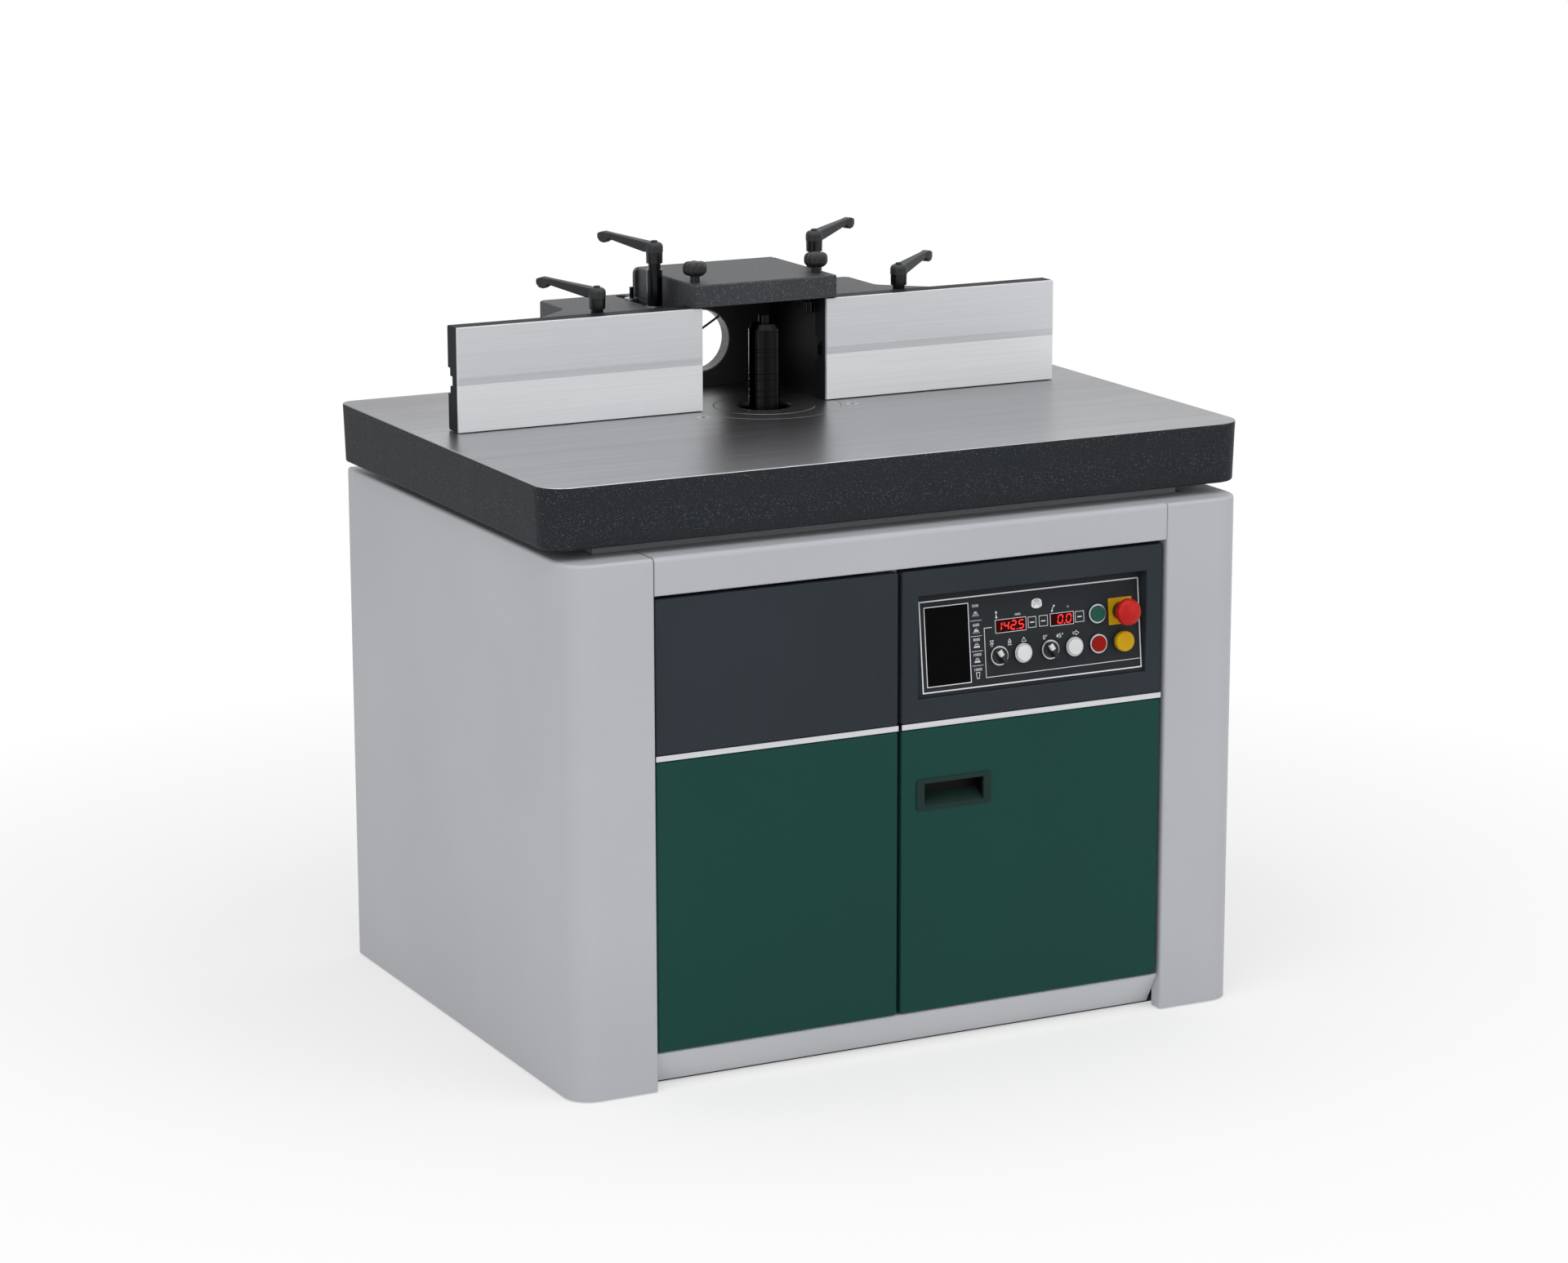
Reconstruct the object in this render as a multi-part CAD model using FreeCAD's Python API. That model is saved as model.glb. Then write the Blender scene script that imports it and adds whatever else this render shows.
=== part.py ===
import FreeCAD, Part
import math
import os

# Spindle moulder with a tilting and rising spindle, in millimetres.
# Origin: the floor point under the upright spindle axis. +X right, +Y to the back, +Z up.

V = FreeCAD.Vector

# Table
table_width = 1143.7
table_depth = 784.5
table_thickness = 90.6
table_height = 889.0
table_offset = 5.6
table_front_reach = 454.7
table_front_corner = 42.0
table_back_corner = 24.0
table_draft = 3.0
bay_corner = 8.0
table_plate = 18.0
table_rim = 14.0
table_top_edge = 1.5
table_foot_edge = 4.0
rib_thickness = 12.0
cross_rib_y = 150.0

# Table opening and insert rings
outer_ring_radius = 117.3
inner_ring_radius = 77.8
ring_opening = 41.0
outer_ring_height = 12.0
inner_ring_height = 6.0
ring_ledge = 8.0
ring_play = 0.2
ring_edge = 0.6
opening_boss = 27.0
opening_boss_height = 11.0
plug_x = 126.6
plug_y = -48.3
plug_radius = 10.5
plug_depth = 8.0
plug_socket = 4.0

# Cabinet
cabinet_width = 1105.2
cabinet_depth = 826.8
cabinet_back_reach = 343.8
cabinet_drop = 15.6
cabinet_corner = 40.0
sheet = 3.0
flange_width = 131.9
flange_bend = 4.0
top_bend = 5.0
flange_return = 24.0
side_top_flange = 66.0
deck_gap = 1.0
back_recess = 25.0
base_thickness = 8.0
base_back_gap = 4.0
anchor_radius = 7.0
anchor_inset_left = 114.0
anchor_inset_right = 125.2
anchor_inset_front = 143.0
anchor_inset_back = 14.8
vent_slots = 6
vent_pitch = 26.0
vent_height = 8.0
vent_width = 180.0
vent_x = 260.0
vent_low = 180.0

# Welded frame
frame_inset_left = 69.0
frame_inset_right = 77.0
frame_front_gap = 70.0
upright_thickness = 6.0
upright_margin = 90.0
upright_front_margin = 45.0
beam_height = 40.0
beam_depth = 30.0
post_width = 45.5
post_depth = 30.0

# Front panels
rail_height = 55.3
rail_setback = 2.0
rail_bend = 8.0
panel_gap = 5.0
panel_setback = 4.3
panel_depth = 18.0
panel_edge = 3.0
panel_corner = 4.0
side_gap = 2.0
door_side_gap = 5.8
middle_gap = 6.0
right_panel_width = 439.0
upper_panel_height = 227.0
trim_height = 8.0
trim_thickness = 4.0
trim_proud = 1.0
door_gap = 1.5
plinth_height = 54.0
plinth_setback = 7.2
plinth_slant = 29.8
plinth_clear = 3.0
plinth_flange = 40.0

# Control housing and its slanted plate
housing_depth = 40.0
housing_skin = 26.0
plate_tilt = 6.3
plate_base_setback = 6.0
plate_rise = 40.5
plate_inset = 27.1
plate_width = 385.1
plate_low = -6.0
plate_high = 146.5
plate_thickness = 2.0
plate_play = 0.4
plate_ledge = 9.0
recess_edge = 2.0
window_box = (19.9, 91.2, 9.8, 124.8)
height_display_box = (136.9, 187.4, 77.0, 95.2)
tilt_display_box = (229.9, 268.2, 77.8, 95.0)
lens_thickness = 1.6
lens_play = 0.2

# Push buttons and selectors, 22 mm devices
row_low = 43.5
row_high = 88.4
rise_selector_x = 138.6
rise_button_x = 179.2
tilt_selector_x = 225.0
device_pitch = 41.2
tilt_button_x = tilt_selector_x + device_pitch
start_column_x = tilt_button_x + device_pitch
stop_column_x = start_column_x + device_pitch
bezel_radius = 14.75
bezel_height = 5.5
bezel_floor = 1.0
bezel_edge = 1.0
cap_radius = 11.9
cap_play = 0.3
cap_proud = 2.5
cap_edge = 1.2
button_travel = 3.5
neck_radius = 11.0
neck_length = 14.0
neck_play = 0.15
stem_radius = 8.15
stem_play = 0.05
stem_reach = 4.0
block_width = 28.0
block_height = 38.0
block_depth = 28.0
selector_bar_width = 6.5
selector_bar_length = 23.0
selector_bar_height = 8.0
selector_rest = 30.0
yellow_radius = 15.2
yellow_height = 8.0
yellow_collar = 3.0
stop_radius = 20.0
stop_height = 21.5
stop_collar = 10.0
stop_collar_radius = 13.5
stop_travel = 4.0
legend_size = 40.0
legend_thickness = 1.2

# Service door
hinge_inset_x = 10.0
hinge_inset_y = 9.7
hinge_pin_radius = 4.0
hinge_play = 0.05
hinge_boss_radius = 8.0
hinge_boss_height = 24.0
hinge_pin_length = 20.0
pull_inset = 86.5
pull_drop = 99.5
pull_width = 124.3
pull_height = 46.5
pull_flange = 2.5
pull_rim = 6.5
pull_end_rim = 12.5
pull_depth = 24.0
pull_wall = 2.0
pull_undercut = 3.5
pull_ramp = 14.0
pull_play = 0.5
catch_rise = 214.5
catch_height = 40.0
catch_width = 24.0
catch_depth = 15.0
catch_gap = 1.0

# Fence
fence_setback = 6.3
fence_height = 157.7
fence_foot_gap = 1.0
fence_length = 400.0
fence_gap_left = 106.8
fence_gap_right = 104.1
face_thickness = 5.0
face_edge = 0.8
face_groove_drop = 75.0
face_groove_height = 11.5
face_groove_depth = 0.6
backing_thickness = 33.0
backing_edge = 4.0
slide_play = 0.3
slot_drop = 82.7
slot_opening = 15.0
slot_mouth_depth = 16.0
slot_depth = 22.0
slot_head_width = 27.0
slot_head_depth = 7.0
slot_recess_width = 39.0
slot_recess_depth = 8.0
slot_stop = 15.0

# Fence casting
wing_height = 148.0
wing_wall = 6.0
wing_half_width = 269.5
wing_back = 240.0
wing_notch_y = 143.0
wing_tip_x = 352.0
wing_tip_y = 69.0
wing_corner = 12.0
wing_notch_round = 18.0
wing_top_edge = 3.0
cheek_x = 108.0
cheek_wall = 10.0
rear_wall_y = 197.0
rear_wall = 8.0
rear_wall_half = 124.0
rear_wall_corner = 10.0
slot_width = 17.0
slot_front = 50.0
slot_back = 228.5

# Dust spigot
spigot_x = -11.0
spigot_rise = 72.0
spigot_radius = 50.0
spigot_wall = 2.0
spigot_length = 25.0
spigot_flange = 6.0
spigot_flange_thickness = 3.0
spigot_play = 0.05
rod_radius = 1.75
rod_offset = 12.3
rod_angle = 30.5

# Hood
hood_half_width = 119.6
hood_top = 194.0
hood_front = 11.2
hood_sheet = 4.0
hood_flange = 34.0
hood_bend = 3.0
hood_back_gap = 1.0
hood_foot_gap = 0.5
hood_side_play = 1.6
bracket_inner = 94.0
bracket_front = 21.0
bracket_depth = 32.0
knob_x = 103.0
knob_y = 27.0
knob_stem_radius = 7.4
knob_stem_height = 9.0
knob_radius = 18.7
knob_height = 21.5
knob_lobes = 5
knob_lobe_radius = 10.0
knob_edge = 8.5
knob_screw_radius = 4.0
knob_screw_length = 30.0
screw_play = 0.3
thread_play = 0.05
nut_radius = 8.0
nut_lobe = 3.5
nut_edge = 1.0
nut_height = 18.0
nut_x = 97.0
nut_y = 42.5

# Clamp levers
outer_lever_x = 257.2
outer_lever_y = 46.2
outer_lever_rise = 161.6
inner_lever_x = 136.8
inner_lever_y = 98.7
inner_lever_rise = 215.5
lever_reach = 105.0
lever_tip_rise = 25.0
lever_tip_round = 6.0
lever_plan_round = 20.0
lever_end_round = 5.0
lever_edge = 2.0
collar_radius = 12.8
collar_height = 16.7
collar_taper = 0.3
dome_radius = 13.3
dome_height = 15.0
dome_round = 7.0
lever_screw_radius = 5.0
lever_screw_height = 2.5
key_radius = 3.0
key_depth = 2.5
left_outer_heading = 124.9
left_inner_heading = 119.1
right_inner_heading = 28.3
right_outer_heading = 34.0
sleeve_radius = 9.5
lever_stud_radius = 6.0
stud_play = 0.05
lever_socket = 15.0
post_radius = 12.0
post_rise = 205.4
washer_radius = 13.0
washer_height = 2.4
stud_radius = 8.0
guide_y = 182.0
guide_radius = 6.0
guide_washer_radius = 11.0
guide_pin_radius = 3.2
guide_pin_height = 17.0
clamp_head = 40.0
clamp_shank_radius = 7.0
clamp_block_width = 30.0
clamp_block_depth = 30.0
clamp_block_rise = 58.0

# Spindle
spindle_radius = 15.0
ring_radius = 24.0
journal_radius = 17.46
flange_low = 84.0
flange_high = 19.0
ring_heights = (35.0, 9.9, 16.2, 9.4, 25.5, 7.9, 4.7, 26.0)
ring_groove = 0.6
cap_height = 11.4
cap_step = 3.4
cap_top_radius = 18.6
bolt_radius = 8.4
bolt_height = 13.0
bolt_socket_radius = 5.0
bolt_socket_depth = 7.0
ring_bore_play = 0.05

# Tilt and lift
pivot_drop = 3.0
tilt_limit = 45.0
guide_arc = 170.0
guide_pin_angles = (-35.0, 5.0)
guide_slot_half = 12.0
guide_pin = 11.7
guide_pin_setback = 2.0
guide_slot_spare = 2.0
bracket_x = 176.0
bracket_plate = 14.0
bracket_low = 246.0
bracket_top_gap = 18.0
bracket_y = (-190.0, 165.0)
bolt_head_radius = 9.0
bolt_head_height = 6.0
bracket_bolt_radius = 6.0
bracket_bolt_y = (-150.0, 140.0)
bracket_bolt_drop = 46.0
side_plate_x = 140.0
side_plate = 12.0
column_x = 112.0
column_y = 70.0
column_radius = 14.0
column_play = 0.06
crossbar_y = (52.0, 92.0)
crossbar_height = 20.0
frame_top_drop = 100.0
frame_low_drop = 406.0
tie_y = (-95.0, -75.0)
tie_rise = 80.0
tie_height = 40.0
side_back_y = 125.0
side_front_y = -40.0
screw_x = 78.0
screw_y = 76.0
screw_radius = 8.0
arm_inner = 66.0

# Toothed sector and pinion of the tilt drive
gear_module = 3.0
sector_teeth = 144
pinion_teeth = 12
sector_web = 24.0
gear_width = 12.0
mesh_angle = 28.0
sector_spare = 7.0
mesh_play = 0.3
tooth_share = 0.36
pinion_shaft = 7.0
tilt_motor_size = 70.0
tilt_motor_length = 95.0

# Spindle carriage
quill_radius = 45.0
quill_top_drop = 85.0
quill_length = 161.0
quill_bore = 30.0
bearing_radius = 36.0
bearing_height = 17.0
bearing_setback = 5.0
race_width = 5.0
race_depth = 2.0
carriage_plate = 12.0
bush_radius = 22.0
bush_height = 95.0
web_height = 38.0
web_y = (30.0, 60.0)
motor_y = 190.0
motor_radius = 95.0
motor_height = 188.0
motor_plate_half = 100.0
motor_plate_back = 292.0
motor_plate_front = -60.0
motor_plate_corner = 30.0
motor_shaft_radius = 14.0
motor_shaft_depth = 100.0
motor_shaft_play = 0.06
shaft_clear = 4.0
fin_count = 7
fin_gap = 8.0
fin_depth = 6.0
terminal_box = (38.0, 50.0, 70.0)
gearbox_x = (58.0, 88.0)
gearbox_y = (62.0, 92.0)
gearbox_height = 68.0

# Pulleys and belt
pulley_step = 22.0
pulley_drop = 5.0
spindle_steps = (46.0, 33.0, 29.0, 26.0)
motor_steps = (55.0, 74.0, 80.0, 88.0)
belt_step = 1
belt_width = 16.0
belt_thickness = 4.0
belt_play = 0.3

# Electrics
box_width = 220.0
box_depth = 150.0
box_low = 100.0
box_height = 400.0
box_edge = 4.0
gland_inset = 98.0
gland_z = 140.0
gland_radius = 14.0
gland_thread = 10.0
gland_length = 18.0
gland_inner = 20.0
gland_bore = 6.0

# Places worked out from the sizes above
table_left = table_offset - table_width / 2
table_right = table_offset + table_width / 2
table_front = -table_front_reach
table_back = table_front + table_depth
table_bottom = table_height - table_thickness
plate_under = table_height - table_plate
ring_seat = table_height - outer_ring_height
opening_radius = outer_ring_radius + ring_play
throat_radius = opening_radius - ring_ledge - ring_play
cabinet_left = table_offset - cabinet_width / 2
cabinet_right = table_offset + cabinet_width / 2
cabinet_back = cabinet_back_reach
cabinet_front = cabinet_back - cabinet_depth
cabinet_top = table_bottom - cabinet_drop
flange_left = cabinet_left + flange_width
flange_right = cabinet_right - flange_width
back_plane = cabinet_back - back_recess
frame_front = cabinet_front + frame_front_gap
frame_left = cabinet_left + frame_inset_left
frame_right = cabinet_right - frame_inset_right
beam_low = table_bottom - beam_height
gland_x = frame_left + gland_inset
rail_low = cabinet_top - rail_height
panel_front = cabinet_front + panel_setback
panel_back = panel_front + panel_depth
upper_top = rail_low - panel_gap
upper_low = upper_top - upper_panel_height
trim_low = upper_low - trim_height
door_top = trim_low - door_gap
door_low = plinth_height + door_gap
right_panel_x = (flange_right - door_side_gap - right_panel_width, flange_right - door_side_gap)
middle_x = right_panel_x[0]
left_panel_x = (flange_left + side_gap, middle_x - middle_gap)
plate_base_x = right_panel_x[0] + plate_inset
plate_base_y = panel_front + plate_base_setback
plate_base_z = upper_low + plate_rise
pull_x = right_panel_x[0] + pull_inset
pull_z = door_top - pull_drop
hinge_x = right_panel_x[1] - hinge_inset_x
hinge_y = panel_front + hinge_inset_y
pivot_z = table_height - pivot_drop
fence_front = -fence_setback
backing_front = fence_front + face_thickness
backing_back = backing_front + backing_thickness
fence_low = table_height + fence_foot_gap
fence_top = table_height + fence_height
slot_z = fence_top - slot_drop
wing_front = backing_back + slide_play
wing_top = table_height + wing_height
hood_top_z = table_height + hood_top
hood_under = hood_top_z - hood_sheet
spigot_z = table_height + spigot_rise
outer_lever_z = table_height + outer_lever_rise
inner_lever_z = table_height + inner_lever_rise
stack_low = table_height - flange_high
stack_top = stack_low + sum(ring_heights)
frame_top = pivot_z - frame_top_drop
frame_low = pivot_z - frame_low_drop
quill_top = pivot_z - quill_top_drop
carriage_low = quill_top - quill_length
deck_top = carriage_low + carriage_plate
pulley_top = carriage_low - pulley_drop
pulley_low = pulley_top - pulley_step * len(spindle_steps)
sector_radius = gear_module * sector_teeth / 2
pinion_radius = gear_module * pinion_teeth / 2
mesh_distance = sector_radius + pinion_radius + mesh_play
bracket_out = bracket_x + bracket_plate


def box(x, y, z):
    """Block between the low and high value on each axis."""
    return Part.makeBox(x[1] - x[0], y[1] - y[0], z[1] - z[0], V(x[0], y[0], z[0]))


def rod(radius, start, end):
    """Round bar between two points."""
    way = V(*end) - V(*start)
    return Part.makeCylinder(radius, way.Length, V(*start), way)


def post(radius, low, high, x=0.0, y=0.0):
    """Upright round bar."""
    return rod(radius, (x, y, low), (x, y, high))


def tube(inner, outer, low, high, x=0.0, y=0.0):
    """Upright round sleeve."""
    return post(outer, low, high, x, y).cut(post(inner, low - 1, high + 1, x, y))


def outline(points, radii, place):
    """Closed wire through plane points, each corner rounded by its radius."""
    count = len(points)
    if not isinstance(radii, (list, tuple)):
        radii = [radii] * count
    ends = []
    for i, (px, py) in enumerate(points):
        before = points[i - 1]
        after = points[(i + 1) % count]
        a = V(before[0] - px, before[1] - py, 0).normalize()
        b = V(after[0] - px, after[1] - py, 0).normalize()
        corner = V(px, py, 0)
        if radii[i] <= 0:
            ends.append((corner, None, corner))
            continue
        half = a.getAngle(b) / 2
        back = radii[i] / math.tan(half)
        middle = (a + b).normalize()
        centre = corner + middle * (radii[i] / math.sin(half))
        ends.append((corner + a * back, centre - middle * radii[i], corner + b * back))
    edges = []
    for i, (start, top, end) in enumerate(ends):
        if top is not None:
            edges.append(Part.Arc(place(start), place(top), place(end)).toShape())
        following = ends[(i + 1) % count][0]
        if (following - end).Length > 1e-6:
            edges.append(Part.LineSegment(place(end), place(following)).toShape())
    return Part.Wire(edges)


def prism_z(points, z, radii=0.0):
    """Upright prism of an outline in X and Y."""
    wire = outline(points, radii, lambda p: V(p.x, p.y, z[0]))
    return Part.Face(wire).extrude(V(0, 0, z[1] - z[0]))


def prism_x(points, x, radii=0.0):
    """Prism along X of an outline in Y and Z."""
    wire = outline(points, radii, lambda p: V(x[0], p.x, p.y))
    return Part.Face(wire).extrude(V(x[1] - x[0], 0, 0))


def prism_y(points, y, radii=0.0):
    """Prism along Y of an outline in X and Z."""
    wire = outline(points, radii, lambda p: V(p.x, y[0], p.y))
    return Part.Face(wire).extrude(V(0, y[1] - y[0], 0))


def rectangle(low_a, high_a, low_b, high_b):
    """Corner points of a rectangle."""
    return [(low_a, low_b), (high_a, low_b), (high_a, high_b), (low_a, high_b)]


def revolve_z(profile, x=0.0, y=0.0):
    """Solid of revolution about an upright axis from (radius, height) points."""
    points = [V(x + r, y, z) for r, z in profile]
    face = Part.Face(Part.makePolygon(points + points[:1]))
    return face.revolve(V(x, y, 0), V(0, 0, 1), 360)


def revolve_y(profile, x, z):
    """Solid of revolution about an axis along Y from (radius, depth) points."""
    points = [V(x + r, y, z) for r, y in profile]
    face = Part.Face(Part.makePolygon(points + points[:1]))
    return face.revolve(V(x, 0, z), V(0, 1, 0), 360)


def rounded(shape, radius, test):
    """Round the edges whose centre passes the test."""
    chosen = [edge for edge in shape.Edges if test(edge.CenterOfMass, edge.BoundBox)]
    return shape.makeFillet(radius, chosen)


def mirrored(shape, x=0.0):
    """Copy on the other side of an upright plane."""
    return shape.mirror(V(x, 0, 0), V(1, 0, 0))


def near(a, b):
    """True where two lengths agree."""
    return abs(a - b) < 1e-3


def save(name, *solids):
    """Write one node."""
    shape = solids[0] if len(solids) == 1 else Part.makeCompound(list(solids))
    shape.exportStep("parts/" + name + ".step")


def base_plate():
    """Floor plate with four anchor holes."""
    x = (cabinet_left + sheet, cabinet_right - sheet)
    y = (cabinet_front + plinth_setback + plinth_slant + sheet, back_plane - base_back_gap)
    holes = []
    for hole_x in (x[0] + anchor_inset_left, x[1] - anchor_inset_right):
        for hole_y in (y[0] + anchor_inset_front, y[1] - anchor_inset_back):
            holes.append(post(anchor_radius, -1, base_thickness + 1, hole_x, hole_y))
    return box(x, y, (0, base_thickness)).cut(holes)


def upright(x):
    """Portal plate of the welded frame."""
    plate = box((x, x + upright_thickness), (frame_front, back_plane), (base_thickness, table_bottom))
    window = box((x - 1, x + upright_thickness + 1),
                 (frame_front + upright_front_margin, back_plane - upright_margin),
                 (base_thickness + upright_margin, table_bottom - upright_margin))
    return plate.cut(window)


def crossbeam(y):
    """Box section between the uprights."""
    x = (frame_left + upright_thickness, frame_right - upright_thickness)
    beam = box(x, (y, y + beam_depth), (beam_low, table_bottom))
    hollow = box((x[0] - 1, x[1] + 1), (y + sheet, y + beam_depth - sheet),
                 (beam_low + sheet, table_bottom - sheet))
    return beam.cut(hollow)


def centre_post():
    """Channel behind the gap between the front panels."""
    x = (middle_x - post_width, middle_x)
    top = cabinet_top - sheet
    column = box(x, (panel_back, panel_back + post_depth), (plinth_height, top))
    hollow = box((x[0] + sheet, x[1] - sheet), (panel_back + sheet, panel_back + post_depth + 1),
                 (plinth_height - 1, top + 1))
    return column.cut(hollow)


def chassis_frame():
    """Uprights, crossbeams and centre post."""
    return [upright(frame_left), upright(frame_right - upright_thickness), crossbeam(frame_front),
            crossbeam(back_plane - beam_depth), centre_post()]


def left_side_panel():
    """Folded side sheet with a rounded front corner, a front flange and a deck on top."""
    x = (cabinet_left, flange_left)
    y = (cabinet_front, cabinet_back)
    block = prism_z(rectangle(x[0], x[1], y[0], y[1]), (0, cabinet_top),
                    [cabinet_corner, flange_bend, 0, 0])
    block = rounded(block, top_bend, lambda c, b: near(b.ZMin, cabinet_top) and b.XMin < x[1] - flange_bend
                    and c.y < y[1] - 1)
    hollow = prism_z(rectangle(x[0] + sheet, x[1] - sheet, y[0] + sheet, y[1] + 1),
                     (-1, cabinet_top - sheet), [cabinet_corner - sheet, 0, 0, 0])
    inside = box((x[1] - sheet - 1, x[1] + 1), (y[0] + flange_return, y[1] + 1), (-1, cabinet_top - sheet))
    above = box((x[0] + side_top_flange, x[1] + 1), (frame_front - deck_gap, y[1] + 1),
                (cabinet_top - sheet - 1, cabinet_top + 1))
    return block.cut([hollow, inside, above])


def back_panel():
    """Rear sheet with two fields of air slots and the gland hole."""
    panel = box((cabinet_left + sheet, cabinet_right - sheet), (back_plane, back_plane + sheet),
                (plinth_clear, cabinet_top - sheet))
    slots = []
    for side in (-1, 1):
        for i in range(vent_slots):
            low = vent_low + i * vent_pitch
            middle = table_offset + side * vent_x
            slots.append(prism_y(rectangle(middle - vent_width / 2, middle + vent_width / 2,
                                           low, low + vent_height),
                                 (back_plane - 1, back_plane + sheet + 1), vent_height * 0.45))
    gland_hole = rod(gland_thread + neck_play, (gland_x, back_plane - 1, gland_z),
                     (gland_x, back_plane + sheet + 1, gland_z))
    return panel.cut(slots + [gland_hole])


def front_rail():
    """Folded rail under the table, between the side panels."""
    x = (flange_left + side_gap / 2, flange_right - side_gap / 2)
    y = (cabinet_front + rail_setback, frame_front)
    block = prism_x(rectangle(y[0], y[1], rail_low, cabinet_top), x, [sheet, 0, 0, rail_bend])
    hollow = prism_x(rectangle(y[0] + sheet, y[1] + 1, rail_low + sheet, cabinet_top - sheet),
                     (x[0] - 1, x[1] + 1), [0, 0, 0, rail_bend - sheet])
    short = box((x[0] - 1, x[1] + 1), (panel_back, y[1] + 1), (rail_low - 1, rail_low + 2 * sheet))
    return block.cut([hollow, short])


def plinth():
    """Slanted kick plate with a top flange."""
    top = cabinet_front + plinth_setback
    foot = top + plinth_slant
    points = [(top, plinth_height), (foot, plinth_clear), (foot + sheet, plinth_clear),
              (top + 1.5 * sheet, plinth_height - sheet), (top + plinth_flange, plinth_height - sheet),
              (top + plinth_flange, plinth_height)]
    return prism_x(points, (flange_left + side_gap / 2, flange_right - side_gap / 2),
                   [panel_edge, 0, 0, 0, 0, 0])


def tray(x, z, depth):
    """Pressed front cover: rounded face, short sides, open at the back."""
    block = prism_y(rectangle(x[0], x[1], z[0], z[1]), (panel_front, panel_front + depth), panel_corner)
    return rounded(block, panel_edge, lambda c, b: near(b.YMax, panel_front))


def hollow_tray(x, z):
    """Front cover with its back hollow cut out."""
    inside = box((x[0] + sheet, x[1] - sheet), (panel_front + sheet, panel_back + 1),
                 (z[0] + sheet, z[1] - sheet))
    return tray(x, z, panel_depth).cut(inside)


def trim_strips():
    """Light strips under the two upper panels."""
    y = (panel_front - trim_proud, panel_front - trim_proud + trim_thickness)
    return [box(x, y, (trim_low, upper_low)) for x in (left_panel_x, right_panel_x)]


def on_plate(shape):
    """Lean a piece drawn upright at the plate's foot back onto the slanted plate."""
    copy = shape.copy()
    copy.rotate(V(0, plate_base_y, plate_base_z), V(1, 0, 0), -plate_tilt)
    return copy


def plate_box(u, v, depth):
    """Block on the upright plate: u from its left end, v up from its foot, depth inwards."""
    return box((plate_base_x + u[0], plate_base_x + u[1]), (plate_base_y + depth[0], plate_base_y + depth[1]),
               (plate_base_z + v[0], plate_base_z + v[1]))


def plate_rod(radius, u, v, depth):
    """Round bar square to the upright plate."""
    x = plate_base_x + u
    z = plate_base_z + v
    return rod(radius, (x, plate_base_y + depth[0], z), (x, plate_base_y + depth[1], z))


def control_housing():
    """Deep moulded cover with a slanted recess for the control plate."""
    x = right_panel_x
    z = (upper_low, upper_top)
    block = tray(x, z, housing_depth)
    recess = on_plate(plate_box((0, plate_width), (plate_low, plate_high),
                                (-2 * housing_depth, plate_thickness)))
    block = block.cut(recess)
    block = rounded(block, recess_edge, lambda c, b: near(b.YMin, panel_front) and near(b.YMax, panel_front)
                    and -1 < c.x - plate_base_x < plate_width + 1
                    and z[0] + plate_ledge < c.z < z[1] - plate_ledge)
    back = box((x[0] + sheet, x[1] - sheet), (panel_front + housing_skin, panel_front + housing_depth + 1),
               (z[0] + sheet, z[1] - sheet))
    through = on_plate(plate_box((plate_ledge, plate_width - plate_ledge),
                                 (plate_low + plate_ledge, plate_high - plate_ledge),
                                 (-1, 2 * housing_depth)))
    return block.cut([back, through])


def devices():
    """Column and row of each 22 mm device."""
    return {"rise_selector": (rise_selector_x, row_low), "rise_button": (rise_button_x, row_low),
            "tilt_selector": (tilt_selector_x, row_low), "tilt_button": (tilt_button_x, row_low),
            "green_button": (start_column_x, row_high), "red_button": (start_column_x, row_low),
            "yellow_button": (stop_column_x, row_low), "stop_button": (stop_column_x, row_high)}


def control_plate():
    """Printed plate with device holes and windows."""
    plate = plate_box((plate_play, plate_width - plate_play),
                      (plate_low + plate_play, plate_high - plate_play), (0, plate_thickness))
    through = (-1, plate_thickness + 1)
    cuts = [plate_rod(neck_radius + neck_play, u, v, through) for u, v in devices().values()]
    for left, right, low, high in (window_box, height_display_box, tilt_display_box):
        cuts.append(plate_box((left - lens_play, right + lens_play),
                              (low - lens_play, high + lens_play), through))
    return on_plate(plate.cut(cuts))


def panel_windows():
    """Dark speed window and the two display lenses."""
    return [on_plate(plate_box((left, right), (low, high), (0, lens_thickness)))
            for left, right, low, high in (window_box, height_display_box, tilt_display_box)]


def bezel_height_of(name):
    """How far each device's fixed ring stands out of the plate."""
    return {"yellow_button": yellow_collar, "stop_button": stop_collar}.get(name, bezel_height)


def bezel(name, u, v):
    """Ring, threaded neck and contact block of one device."""
    height = bezel_height_of(name)
    foot = -legend_thickness if name == "stop_button" else 0.0
    radius = stop_collar_radius if name == "stop_button" else bezel_radius
    ring = plate_rod(radius, u, v, (foot - height, foot))
    ring = rounded(ring, bezel_edge, lambda c, b: near(b.YMax, plate_base_y + foot - height))
    neck = plate_rod(neck_radius, u, v, (foot - bezel_floor, neck_length))
    block = plate_box((u - block_width / 2, u + block_width / 2),
                      (v - block_height / 2, v + block_height / 2),
                      (neck_length, neck_length + block_depth))
    cup = plate_rod(cap_radius + cap_play, u, v, (foot - height - 1, foot - bezel_floor))
    bore = plate_rod(stem_radius + stem_play, u, v,
                     (foot - height - 1, neck_length + stem_reach + 2 * stop_travel))
    return on_plate(ring.fuse([neck, block]).cut([cup, bore]).removeSplitter())


def control_bezels():
    """Fixed parts of all devices."""
    return [bezel(name, u, v) for name, (u, v) in devices().items()]


def stem(u, v, front):
    """Plunger of a device."""
    return plate_rod(stem_radius, u, v, (front, neck_length + stem_reach))


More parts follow.
